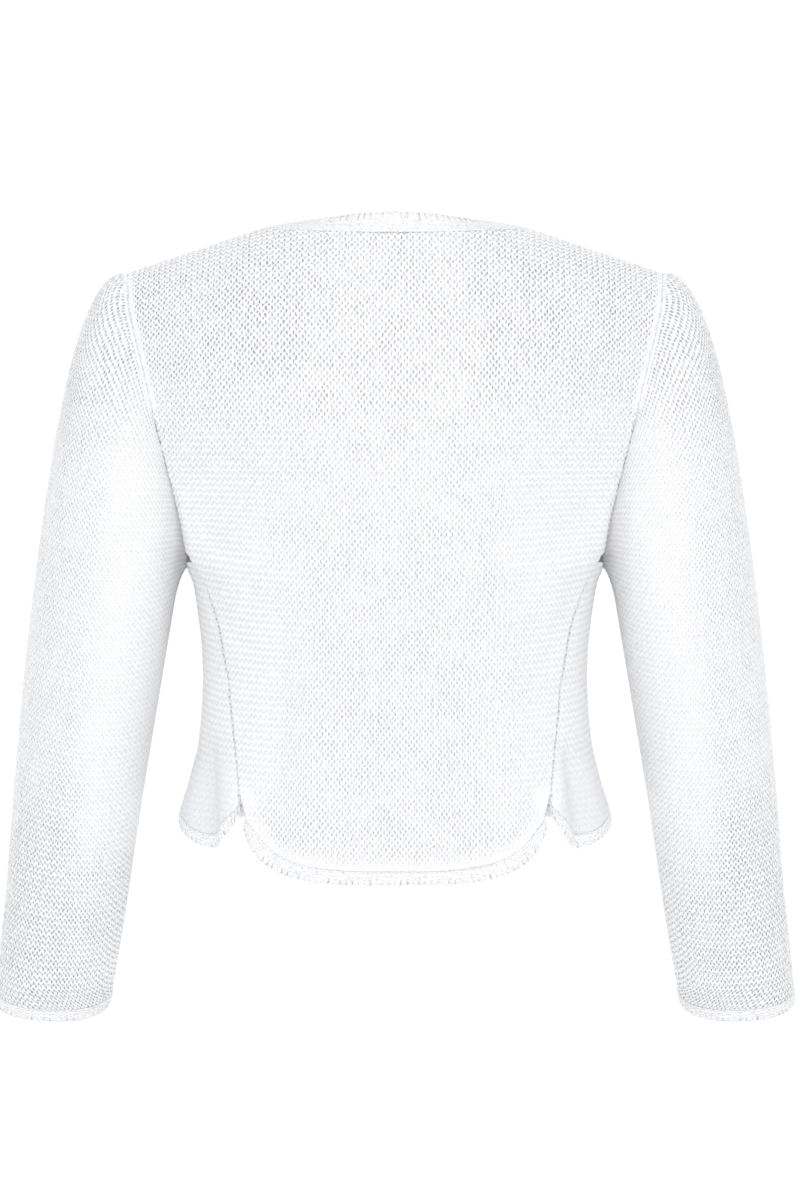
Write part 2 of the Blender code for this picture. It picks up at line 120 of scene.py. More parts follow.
HEM = {
    "back":  {"low": -465.0, "notch": -410.0, "p": 3.5, "q": 2.4, "skew": 0.0},
    "side":  {"low": -441.0, "notch": -408.5, "p": 1.6, "q": 1.1, "skew": 0.42},
    "front": {"low": -425.0, "notch": -408.5, "p": 2.2, "q": 1.3, "skew": 0.0},
}
EDGE_S = 0.992
FOLDS = (
    {"side": 1, "at": 57.0, "wide": 9.0, "deep": -5.0, "top": -372.0, "low": -430.0},
    {"side": 1, "at": 74.0, "wide": 8.0, "deep": 2.5, "top": -385.0, "low": -425.0},
    {"side": -1, "at": 62.0, "wide": 10.0, "deep": -3.5, "top": -380.0, "low": -440.0},
    {"side": -1, "at": 38.0, "wide": 11.0, "deep": 2.5, "top": -380.0, "low": -445.0},
)
LOW_TOP = -400.0      # where the hem tabs begin
FRONT_IN = FRONT_PART + TRIM + GAP
SEAM = 0.06           # half of the space between two pieces at a seam

# ---------------------------------------------------------------- the knit
STITCH = (4.1, 4.85)          # width of a stitch and height of a row
SLEEVE_STITCH = (3.65, 4.4)
CLOTH = 1.7           # thickness of the yarn cloth without its relief


# ---------------------------------------------------------------- small maths, on arrays
def smooth(table, column, at):
    xs = np.array(table["z"], float)
    ys = np.array(table[column], float)
    order = np.argsort(xs)
    xs, ys = xs[order], ys[order]
    h = np.diff(xs)
    d = np.diff(ys) / h
    m = np.zeros(len(xs))
    m[0], m[-1] = d[0], d[-1]
    for i in range(1, len(xs) - 1):
        if d[i - 1] * d[i] > 0:
            w1, w2 = 2 * h[i] + h[i - 1], h[i] + 2 * h[i - 1]
            m[i] = (w1 + w2) / (w1 / d[i - 1] + w2 / d[i])
    at = np.clip(np.asarray(at, float), xs[0], xs[-1])
    k = np.clip(np.searchsorted(xs, at, side="right") - 1, 0, len(h) - 1)
    t = (at - xs[k]) / h[k]
    return ((2 * t**3 - 3 * t**2 + 1) * ys[k] + (t**3 - 2 * t**2 + t) * h[k] * m[k]
            + (3 * t**2 - 2 * t**3) * ys[k + 1] + (t**3 - t**2) * h[k] * m[k + 1])


def ease(t):
    t = np.clip(t, 0.0, 1.0)
    return t * t * (3 - 2 * t)


def unit(v):
    return v / np.maximum(1e-12, np.linalg.norm(v, axis=-1, keepdims=True))


# ---------------------------------------------------------------- the body's form
def armhole_x(side, z):
    x = smooth(ARMHOLE, "x", z)
    if side < 0:
        rise = np.minimum(1.0, np.abs((z - BLADE_Z) / ARM_RISE))
        x = x - SCOOP * (1 - rise * rise)
    return x


def across(s, n):
    return np.maximum(0.0, 1 - np.abs(s) ** n) ** (1 / n)


def fold_shift(side, s, z):
    angle = np.degrees(np.arctan2(np.abs(s), across(s, N_SUPER) + 1e-9))
    shift = 0.0
    for f in FOLDS:
        if f["side"] == side:
            shift = shift + (f["deep"] * np.exp(-((angle - f["at"]) / f["wide"]) ** 2)
                             * ease((f["top"] - z) / (f["top"] - f["low"])))
    return shift


def lower(side, s, z):
    s, z = np.broadcast_arrays(np.asarray(s, float), np.asarray(z, float))
    m = M_BACK if side > 0 else M_FRONT
    depth = smooth(TRUNK, "back" if side > 0 else "front", z)
    arm = z > UNDERARM_Z
    rise = (z - BLADE_Z) / ARM_RISE
    edge_x = np.where(arm, armhole_x(side, z), smooth(TRUNK, "half", z))
    edge_y = np.where(arm, (ARM_BACK if side > 0 else ARM_FRONT)
                      * np.sqrt(np.maximum(0.0, 1 - rise * rise)), 0.0)
    kappa = np.where(arm, np.maximum(0.0, -rise) ** KAPPA, 1.0)
    k = kappa * across(s, N_SUPER) + (1 - kappa) * (1 - np.abs(s) ** m)
    hold = np.abs(s) ** (m + 14 * kappa)
    x, y = s * edge_x, edge_y * hold + depth * k
    push = fold_shift(side, s, z)
    r = np.hypot(x, y)
    x, y = x * (1 + push / r), y * (1 + push / r)
    return np.stack([x, side * y, z], -1)


def ridge(s):
    z = TIP_Z + TIP_X * (1 - np.abs(s)) * SLOPE
    lift = np.maximum(0.0, 1 - (np.abs(s) / NECK_S) ** 2) ** 2
    return z, lift


def column(side, s):
    m = M_BACK if side > 0 else M_FRONT
    z_r, lift = ridge(s)
    edge = ARM_BACK if side > 0 else ARM_FRONT
    depth = float(smooth(TRUNK, "back" if side > 0 else "front", BLADE_Z))
    y_b = edge + (depth - edge) * (1 - np.abs(s) ** m)
    if side > 0:
        y_r, z_r, lean = RIDGE_Y - 80 * lift, z_r + 57 * lift, 0.0 * s
    else:
        y_r, lean = -RIDGE_Y + 0.0 * s, CHEST_LEAN * (1 - np.abs(s) ** m)
    return y_r, z_r, lean, y_b - y_r - lean * (z_r - BLADE_Z)


def upper(side, s, theta):
    s, theta = np.broadcast_arrays(np.asarray(s, float), np.asarray(theta, float))
    y_r, z_r, lean, reach = column(side, s)
    z = BLADE_Z + (z_r - BLADE_Z) * np.cos(theta)
    y = y_r + reach * np.sin(theta) + lean * (z_r - z)
    level = BLADE_Z + ARM_RISE * np.cos(theta)
    return np.stack([s * armhole_x(side, level), side * y, z], -1)


def neck_theta(side, s):
    s = np.asarray(s, float)
    y_r, z_r, lean, reach = column(side, s)
    seam = SHOULDER_SEAM / reach
    share = np.minimum(1.0, np.abs(s) / NECK_S)
    if side > 0:
        z_n = NECK_Z - BACK_DROP * (1 - share ** 2)
    else:
        z_n = NECK_Z - FRONT_DROP * (1 - share ** 2.2) ** (1 / 2.2)
    cut = np.arccos(np.clip((z_n - BLADE_Z) / (z_r - BLADE_Z), -1.0, 1.0))
    return np.where(np.abs(s) >= NECK_S, seam, np.maximum(seam, cut))


def princess_s(z):
    return smooth(PRINCESS, "x", z) / np.where(z <= UNDERARM_Z, smooth(TRUNK, "half", z),
                                               armhole_x(1, z))


def back_place(f, z):
    s_edge = np.where(z < PRINCESS_TOP, np.minimum(1.0, princess_s(z)), 1.0)
    return lower(1, f * (s_edge - SEAM / 140.0), z)


def super_s(psi):
    sn, cs = np.sin(psi), np.maximum(0.0, np.cos(psi))
    return np.minimum(1.0, sn / (sn ** N_SUPER + cs ** N_SUPER) ** (1 / N_SUPER))


def side_place(f, z):
    a = princess_s(z)
    ang = np.arctan2(a, across(a, N_SUPER))
    lo = ang + (SEAM + np.where(z > UNDERARM_Z, 0.4, 0.0)) / 100.0
    hi = 0.5 * math.pi - SEAM / 100.0
    return lower(1, super_s(lo + (hi - lo) * 0.5 * (1 + f)), z)


def front_place(f, z):
    edge = np.where(z <= UNDERARM_Z, smooth(TRUNK, "half", z), armhole_x(-1, z))
    s0 = FRONT_IN / edge
    lo = np.arctan2(s0, across(s0, N_SUPER))
    hi = np.where(z <= UNDERARM_Z, 0.5 * math.pi - SEAM / 110.0, 0.5 * math.pi)
    return lower(-1, super_s(lo + (hi - lo) * f), z)


FRONT_S0 = float(FRONT_IN / armhole_x(-1, BLADE_Z))
FRONT_LO = math.atan2(FRONT_S0, float(across(FRONT_S0, N_SUPER)))


def front_share(s):
    return (math.atan2(s, float(across(s, N_SUPER))) - FRONT_LO) / (0.5 * math.pi - FRONT_LO)


def front_s(f):
    return super_s(FRONT_LO + (0.5 * math.pi - FRONT_LO) * np.asarray(f, float))


def centre_edge(x, z):
    s_up = x / armhole_x(-1, z)
    top = upper(-1, s_up, np.arccos(np.clip((z - BLADE_Z) / (ridge(s_up)[0] - BLADE_Z), -1, 1)))
    edge = np.where(z <= UNDERARM_Z, smooth(TRUNK, "half", z), armhole_x(-1, z))
    return np.where((z > BLADE_Z)[..., None], top, lower(-1, x / edge, z))


def tab_height(kind, sigma, inner):
    h = HEM[kind]
    top = h["notch"] if inner else h["notch"] - 6.0
    low = h["low"] + TRIM if inner else h["low"]
    p = h["p"] if inner else 1.1 * h["p"]
    at = EDGE_S * (sigma + h["skew"] * (1 - sigma * sigma))
    return top - (top - low) * np.maximum(0.0, 1 - np.abs(at) ** p) ** (1 / h["q"])


def tab_rows(kind, place, sg, half_wide, steps, open_side=False):
    """The cloth's rows down to the tab's curve, and the two edges of its edging."""
    z_in, z_out = tab_height(kind, sg, True), tab_height(kind, sg, False)
    pull = (TRIM - 2.5) / half_wide * ease((HEM[kind]["notch"] - z_in) / 22.0)
    reach = np.full_like(sg, -1.1 / half_wide)
    if open_side:
        pull = np.where(sg < 0, 0.0, pull)
        reach = np.where(sg < 0, (TRIM + GAP - 1.2) / half_wide, reach)
    fi, fo = sg * (1 - pull), sg * (1 + reach)
    cloth = np.array([place(sg + (fi - sg) * ease(t), LOW_TOP + (z_in - LOW_TOP) * t)
                      for t in np.linspace(0, 1, steps + 1)[1:]])
    du, dz = (fo - fi) * half_wide, z_out - z_in
    share = 0.1 / np.hypot(du, dz)
    near = place(fi + (fo - fi) * share, z_in + dz * share)
    return cloth, near, place(fo, z_out)


# ---------------------------------------------------------------- the sleeve's form
def armhole_point(phi):
    phi = np.asarray(phi, float)
    out = []
    for side in (1, -1):
        theta = np.arccos(np.clip(np.cos(phi), 0, 1))
        high = upper(side, np.ones_like(phi), theta)
        low = lower(side, np.ones_like(phi), BLADE_Z + ARM_RISE * np.minimum(0.0, np.cos(phi)))
        out.append(np.where((np.cos(phi) >= 0)[..., None], high, low))
    return np.where((np.sin(phi) >= 0)[..., None], out[0], out[1])


def armhole_inside(phi, share):
    out = []
    for side in (1, -1):
        theta = np.arccos(np.clip(np.cos(phi), 0, 1))
        high = upper(side, np.full_like(phi, share), theta)
        low = lower(side, np.full_like(phi, share), BLADE_Z + ARM_RISE * np.minimum(0.0, np.cos(phi)))
        out.append(np.where((np.cos(phi) >= 0)[..., None], high, low))
    return np.where((np.sin(phi) >= 0)[..., None], out[0], out[1])


def sleeve_ring(z, phi):
    z, phi = np.broadcast_arrays(np.asarray(z, float), np.asarray(phi, float))
    x, w, d, y = (smooth(SLEEVE, c, z) for c in "xwdy")
    n = smooth(SLEEVE, "n", z)
    c, s = (np.copysign(np.abs(t) ** (2 / n), t) for t in (np.cos(phi), np.sin(phi)))
    tilt, tip = (np.radians(smooth(SLEEVE, k, z)) for k in "tf")
    return np.stack([x + w * c * np.cos(tilt), y + d * s * np.cos(tip),
                     z + w * c * np.sin(tilt) - d * s * np.sin(tip)], -1)


def cap_frame(phi):
    at = armhole_point(phi)
    along = armhole_point(phi + 0.02) - armhole_point(phi - 0.02)
    side = np.where(np.sin(phi) >= 0, 1.0, -1.0)[:, None]
    inside = armhole_inside(phi, 0.97)
    face = np.cross(at - inside, along) * side
    face = np.where((np.abs(np.cos(phi) + 1) < 0.01)[:, None], np.array((1.0, 0.0, 0.0)), face)
    face = unit(face)
    face = np.where(face[:, :1] < 0, -face, face)
    away = unit(np.cross(along, face))
    test = at - inside
    test[:, 2] += 4.0 * np.maximum(0.0, -np.cos(phi))
    away = np.where(np.sum(away * test, 1, keepdims=True) < 0, -away, away)
    way = unit(np.stack([np.ones_like(phi), 0.22 * np.sin(phi),
                         0.24 * np.maximum(0.0, np.cos(phi)) ** 2], -1))
    turn = np.sqrt(np.maximum(0.0, 1 - np.sum(way * away, 1) ** 2))
    clear = SEAM_CLEAR * (0.1 + 0.3 * np.maximum(0.0, -np.sin(phi)))
    return at + away * (clear + 0.22 * WALL * turn)[:, None], way


def sleeve_caps(ts, phi):
    start, way = cap_frame(phi)
    up = (0.5 * (1 + np.cos(phi)))[:, None]
    end = sleeve_ring(SLEEVE["z"][0], phi)
    pull, fall = 18 + 92 * up, 30 + 270 * up
    axis = np.array((0.128, -0.06, -0.990))
    return np.array([(2 * t**3 - 3 * t**2 + 1) * start + (t**3 - 2 * t**2 + t) * pull * way
                     + (3 * t**2 - 2 * t**3) * end + (t**3 - t**2) * fall * axis for t in ts])


# ---------------------------------------------------------------- fine grids and the knit's run
# P holds points, rows from top to bottom; U is the stitch direction and V the row direction,
# both in millimetres of cloth.
def arcs_up(P, row):
    step = np.linalg.norm(np.diff(P[:row + 1], axis=0), axis=2)
    arc = np.zeros(P.shape[:2])
    arc[:row] = np.cumsum(step[::-1], axis=0)[::-1]
    return arc


def plan_run(P):
    """Distance along each row as seen from above."""
    step = np.hypot(np.diff(P[..., 0], axis=1), np.diff(P[..., 1], axis=1))
    run = np.zeros(P.shape[:2])
    run[:, 1:] = np.cumsum(step, axis=1)
    return run


def pull_in(z):
    """Stitches are a little wider over the shoulders and narrower at the waist."""
    return 0.94 + 0.12 * ease((-60.0 - z) / 290.0)


def dip(z):
    return 0.2 * ease((BLADE_Z - z) / 104.0)


def shoulder_rows(P, blade, ends, ref):
    """Rows above the blades: they rise a little towards the neck point."""
    arc = arcs_up(P, blade)
    return BLADE_Z + arc / (1 + 0.65 * (ends / ref - 1))


UP = np.linspace(0, 1, 64)
LOW_Z = np.linspace(BLADE_Z, LOW_TOP, 100)[1:]
BLADE_ROW = len(UP) - 1

back_cols = np.unique(np.concatenate([np.linspace(0, NECK_S, 76), np.linspace(NECK_S, 1, 76)]))
top = neck_theta(1, back_cols)
tab, back_near, back_far = tab_rows("back", back_place, back_cols, 104.0, 16)
BACK = np.array([upper(1, back_cols, top + (0.5 * math.pi - top) * t) for t in UP]
                + [back_place(back_cols, z) for z in LOW_Z] + list(tab))
reach = arcs_up(BACK, BLADE_ROW)[0]
neck_col = int(np.argmin(np.abs(back_cols - NECK_S)))
reach = np.where(back_cols < NECK_S, reach[neck_col], reach)
BACK_V = BACK[..., 2] + dip(BACK[..., 2]) * (BACK[..., 1] - smooth(TRUNK, "back", BACK[..., 2]))
BACK_V[:BLADE_ROW + 1] = shoulder_rows(BACK, BLADE_ROW, reach, np.interp(0.75, back_cols, reach))[:BLADE_ROW + 1]
BACK_U = plan_run(BACK)
spread = BACK_U[BLADE_ROW] / np.maximum(1e-6, BACK[BLADE_ROW, :, 0])
spread[0] = spread[1]
BACK_U[:BLADE_ROW] = BACK[:BLADE_ROW, :, 0] * spread
BACK_U = BACK_U * pull_in(BACK[..., 2])

side_cols = np.linspace(-1, 1, 64)
SIDE_Z = np.concatenate([[SIDE_TOP], np.linspace(UNDERARM_Z, LOW_TOP, 64)])
tab, side_near, side_far = tab_rows("side", side_place, side_cols, 46.0, 16)
SIDE = np.array([side_place(side_cols, z) for z in SIDE_Z] + list(tab))
SIDE_V = SIDE[..., 2] + dip(SIDE[..., 2]) * (SIDE[..., 1] - smooth(TRUNK, "back", SIDE[..., 2]))
SIDE_U = plan_run(SIDE)

neck_f = front_share(NECK_S)
front_cols = np.unique(np.concatenate([np.linspace(0, neck_f, 76), np.linspace(neck_f, 1, 76)]))
s = front_s(front_cols)
top = neck_theta(-1, s)
tab, front_near, front_far = tab_rows("front", lambda f, z: front_place(0.5 * (1 + f), z),
                                      2 * front_cols - 1, 102.5, 16, open_side=True)
FRONT = np.array([upper(-1, s, top + (0.5 * math.pi - top) * t) for t in UP]
                 + [front_place(front_cols, z) for z in LOW_Z] + list(tab))
reach = arcs_up(FRONT, BLADE_ROW)[0]
neck_col = int(np.argmin(np.abs(front_cols - neck_f)))
reach = np.where(front_cols < neck_f, reach[neck_col], reach)
FRONT_V = FRONT[..., 2] - dip(FRONT[..., 2]) * smooth(TRUNK, "back", FRONT[..., 2])
FRONT_V[:BLADE_ROW + 1] = shoulder_rows(FRONT, BLADE_ROW, reach, np.interp(0.8, front_cols, reach))[:BLADE_ROW + 1]
FRONT_U = plan_run(FRONT) + FRONT[:, :1, 0]
FRONT_U[:BLADE_ROW] = FRONT[:BLADE_ROW, :, 0] * FRONT_U[BLADE_ROW] / FRONT[BLADE_ROW, :, 0]
FRONT_U = FRONT_U * pull_in(FRONT[..., 2])

turns = np.linspace(-math.pi, math.pi, 241)
CAP_T = np.linspace(0, 1, 61)[:-1] ** 1.25
RING_Z = np.linspace(SLEEVE["z"][0], SLEEVE["z"][-1], 96)
SLEEVES = np.concatenate([sleeve_caps(CAP_T, turns), np.array([sleeve_ring(z, turns) for z in RING_Z])])
SLEEVES[:, -1] = SLEEVES[:, 0]
z = SLEEVES[..., 2]
axis_x = smooth(SLEEVE, "x", z) - 0.14 * np.maximum(0.0, z + 265.0)
axis_y = smooth(SLEEVE, "y", z)
lean = -np.tan(np.radians(smooth(SLEEVE, "t", z)))
lean = lean + (0.3 - lean) * ease((z + 150.0) / 80.0)
field = z + 0.4 * ease((-40.0 - z) / 110.0) * (SLEEVES[..., 1] - axis_y) + lean * (SLEEVES[..., 0] - axis_x)
ring_row = len(CAP_T)
SLEEVE_V = field.copy()
for i in range(ring_row - 1, -1, -1):
    ds = np.linalg.norm(SLEEVES[i] - SLEEVES[i + 1], axis=1)
    SLEEVE_V[i] = SLEEVE_V[i + 1] + np.clip(field[i] - field[i + 1], 0.78 * ds, 1.12 * ds)
off = np.stack([SLEEVES[..., 0] - axis_x, SLEEVES[..., 1] - axis_y], -1)
wide = np.hypot(off[..., 0], off[..., 1])
about = np.arctan2(off[..., 1], off[..., 0])
SLEEVE_V[:, -1] = SLEEVE_V[:, 0]
near_pi = np.abs(turns) > 2.7
about = np.where(near_pi, np.sign(turns) * np.arccos(np.clip(off[..., 0] / wide, -1, 1)), about)
SLEEVE_U = wide * about


# ---------------------------------------------------------------- meshing a panel
def at_levels(P, U, V, j, step):
    """Column j cut where it crosses the knit's quarter rows, its two ends kept."""
    v = V[:, j]
    hi, lo = v[0], v[-1]
    levels = np.arange(math.floor(hi / step), math.ceil(lo / step) - 1, -1) * step
    levels = levels[(levels < hi - 0.3 * step) & (levels > lo + 0.3 * step)]
    at = np.concatenate([[hi], levels, [lo]])
    pts = np.stack([np.interp(-at, -v, P[:, j, k]) for k in range(3)], -1)
    return pts, np.stack([np.interp(-at, -v, U[:, j]), at], -1)


def outline_of(P, U, V, step):
    right, right_uv = at_levels(P, U, V, -1, step)
    left, left_uv = at_levels(P, U, V, 0, step)
    uv = np.stack([U, V], -1)
    parts = [(P[0], uv[0]), (right[1:], right_uv[1:]), (P[-1, :-1][::-1], uv[-1, :-1][::-1]),
             (left[1:-1][::-1], left_uv[1:-1][::-1])]
    marks = np.concatenate([np.full(len(p[0]), k) for k, p in enumerate(parts)])
    return np.concatenate([p[0] for p in parts]), np.concatenate([p[1] for p in parts]), marks


def lattice(P, U, V, du, dv, loop, clear):
    """The knit's own points inside the outline, with their places in space."""
    hi, lo = V.max(), V.min()
    levels = np.arange(math.floor(hi / dv), math.ceil(lo / dv) - 1, -1) * dv
    cols = P.shape[1]
    PL = np.empty((len(levels), cols, 3))
    UL = np.empty((len(levels), cols))
    for j in range(cols):
        v = -V[:, j]
        for k in range(3):
            PL[:, j, k] = np.interp(-levels, v, P[:, j, k])
        UL[:, j] = np.interp(-levels, v, U[:, j])
    pts, uv = [], []
    for i, level in enumerate(levels):
        u = np.maximum.accumulate(UL[i])
        at = np.arange(math.ceil(u[0] / du), math.floor(u[-1] / du) + 1) * du
        if len(at):
            pts.append(np.stack([np.interp(at, u, PL[i, :, k]) for k in range(3)], -1))
            uv.append(np.stack([at, np.full(len(at), level)], -1))
    pts, uv = np.concatenate(pts), np.concatenate(uv)
    inside = np.zeros(len(uv), bool)
    near = np.full(len(uv), 1e9)
    x, y = uv[:, 0], uv[:, 1]
    for a, b in zip(loop, np.roll(loop, -1, axis=0)):
        if (a[1] > b[1]) != (b[1] > a[1]) or a[1] != b[1]:
            cross = (a[1] > y) != (b[1] > y)
            inside ^= cross & (x < (b[0] - a[0]) * (y - a[1]) / (b[1] - a[1] + 1e-30) + a[0])
        d = b - a
        t = np.clip(((x - a[0]) * d[0] + (y - a[1]) * d[1]) / max(1e-12, d @ d), 0, 1)
        near = np.minimum(near, (x - a[0] - t * d[0]) ** 2 + (y - a[1] - t * d[1]) ** 2)
    keep = inside & (near > clear * clear)
    return pts[keep], uv[keep]


def fill(loop, inner):
    """Triangles between an outline and the points inside it."""
    n = len(loop)
    spots = [Vector(p) for p in loop.tolist()] + [Vector(p) for p in inner.tolist()]
    out = delaunay_2d_cdt(spots, [(i, (i + 1) % n) for i in range(n)], [], 1, 1e-5)
    ids = np.array([o[0] if len(o) else -1 for o in out[3]])
    tris = ids[np.array([f for f in out[2] if len(f) == 3])]
    tris = tris[(tris >= 0).all(axis=1)]
    a, b, c = (np.concatenate([loop, inner])[tris[:, k]] for k in range(3))
    turn = (b[:, 0] - a[:, 0]) * (c[:, 1] - a[:, 1]) - (b[:, 1] - a[:, 1]) * (c[:, 0] - a[:, 0])
    tris = tris[np.abs(turn) > 1e-4]
    turn = turn[np.abs(turn) > 1e-4]
    tris[turn < 0] = tris[turn < 0][:, ::-1]
    return tris


def cut_panel(P, U, V, stitch=STITCH, half=False, tube=False):
    """Both sides of a panel as points, flat places and triangles. The first points of each
    side are the same outline. A half panel is mirrored over x = 0, a tube closed on itself."""
    wale, course = stitch
    pts, loop, marks = outline_of(P, U, V, 0.25 * course)
    n = len(loop)
    sides = []
    for du, dv, clear in ((0.5 * wale, 0.25 * course, 0.5), (wale, 0.5 * course, 0.9)):
        more, uv = lattice(P, U, V, du, dv, loop, clear)
        sides.append([np.concatenate([pts, more]), np.concatenate([loop, uv]), fill(loop, uv)])
    rim = np.array([(i, (i + 1) % n) for i in range(n)])
    right_start, bottom_start = int(np.argmax(marks == 1)) - 1, int(np.argmax(marks == 2))
    foot = int(np.argmax(marks == 3)) - 1          # the left column's lowest point
    left_ids = np.concatenate([[0], np.arange(n - 1, foot - 1, -1)])
    right_ids = np.arange(right_start, bottom_start)
    is_left, is_right = np.zeros(n, bool), np.zeros(n, bool)
    is_left[foot:] = True
    is_right[right_start:bottom_start - 1] = True
    if half:
        rim = rim[~is_left]
        for side in sides:
            P0, UV, T = side
            m = len(P0)
            fixed = np.zeros(m, bool)
            fixed[left_ids] = True
            twin = np.arange(m)
            twin[~fixed] = m + np.arange((~fixed).sum())
            P1 = P0[~fixed] * (-1, 1, 1)
            UV1 = UV[~fixed] * (-1, 1)
            P0 = P0.copy()
            P0[left_ids, 0] = 0.0
            side[0] = np.concatenate([P0, P1])
            side[1] = np.concatenate([UV, UV1])
            side[2] = np.concatenate([T, twin[T][:, ::-1]])
            side.append(twin)
        rims = [(rim, rim), (sides[0][3][rim][:, ::-1], sides[1][3][rim][:, ::-1])]
    elif tube:
        rim = rim[~is_left & ~is_right]
        rims = [(rim, rim)]
        for side in sides:
            weld = np.arange(len(side[0]))
            weld[left_ids] = right_ids
            side.append(weld)
    else:
        rims = [(rim, rim)]
    return {"sides": sides, "rims": rims, "tube": tube, "bottom": P[-1], "n": n,
            "stitch": stitch}


def normals_of(pts, tris):
    face = np.cross(pts[tris[:, 1]] - pts[tris[:, 0]], pts[tris[:, 2]] - pts[tris[:, 0]])
    out = np.zeros_like(pts)
    for k in range(3):
        np.add.at(out, tris[:, k], face)
    return unit(out)


def nearest(pts, line):
    best = np.full(len(pts), 1e9)
    for q in line:
        best = np.minimum(best, ((pts - q) ** 2).sum(1))
    return np.sqrt(best)


def close_slits(mesh):
    """Fills the few slits that slivers of the flat net leave, with places from next to them."""
    bm = bmesh.new()
    bm.from_mesh(mesh)
    rim = [e for e in bm.edges if len(e.link_faces) == 1]
    made = bmesh.ops.holes_fill(bm, edges=rim, sides=8)["faces"] if rim else []
    if made:
        new = set(bmesh.ops.triangulate(bm, faces=made)["faces"])
        bake = bm.loops.layers.uv["OFBake"]
        for face in new:
            face.smooth = True
            choices = [[k for k in loop.vert.link_loops if k.face not in new] for loop in face.loops]
            best = None
            for first in choices[0]:
                picks = [min(c, key=lambda k: (k[bake].uv - first[bake].uv).length) for c in choices]
                far = max((k[bake].uv - first[bake].uv).length for k in picks)
                if best is None or far < best[0]:
                    best = (far, picks)
            for loop, pick in zip(face.loops, best[1]):
                for layer in bm.loops.layers.uv.values():
                    loop[layer].uv = (pick if best[0] < 0.06 else best[1][0])[layer].uv
        bmesh.ops.recalc_face_normals(bm, faces=bm.faces)
        bm.to_mesh(mesh)
    bm.free()
    return len(made)


def make_mesh(name, verts, faces, uvs, material):
    mesh = bpy.data.meshes.new(name)
    sizes = np.concatenate([np.full(len(f), f.shape[1]) for f in faces])
    loops = np.concatenate([f.ravel() for f in faces])
    mesh.vertices.add(len(verts))
    mesh.vertices.foreach_set("co", (np.asarray(verts) * MM).ravel())
    mesh.loops.add(len(loops))
    mesh.loops.foreach_set("vertex_index", loops.astype(np.int32))
    mesh.polygons.add(len(sizes))
    starts = np.concatenate([[0], np.cumsum(sizes)[:-1]])
    mesh.polygons.foreach_set("loop_start", starts.astype(np.int32))
    mesh.update(calc_edges=True)
    for key, values in uvs.items():
        layer = mesh.uv_layers.new(name=key)
        layer.data.foreach_set("uv", np.asarray(values, float).ravel())
    mesh.validate()
    slits = close_slits(mesh)
    if slits:
        print("SLITS", name, slits)
    mesh.uv_layers["OFBake"].active = True
    mesh.uv_layers["OFBake"].active_render = True
    mesh.shade_smooth()
    mesh.materials.append(material)
    obj = bpy.data.objects.new(name, mesh)
    bpy.context.scene.collection.objects.link(obj)
    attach(obj, BODY)
    return obj


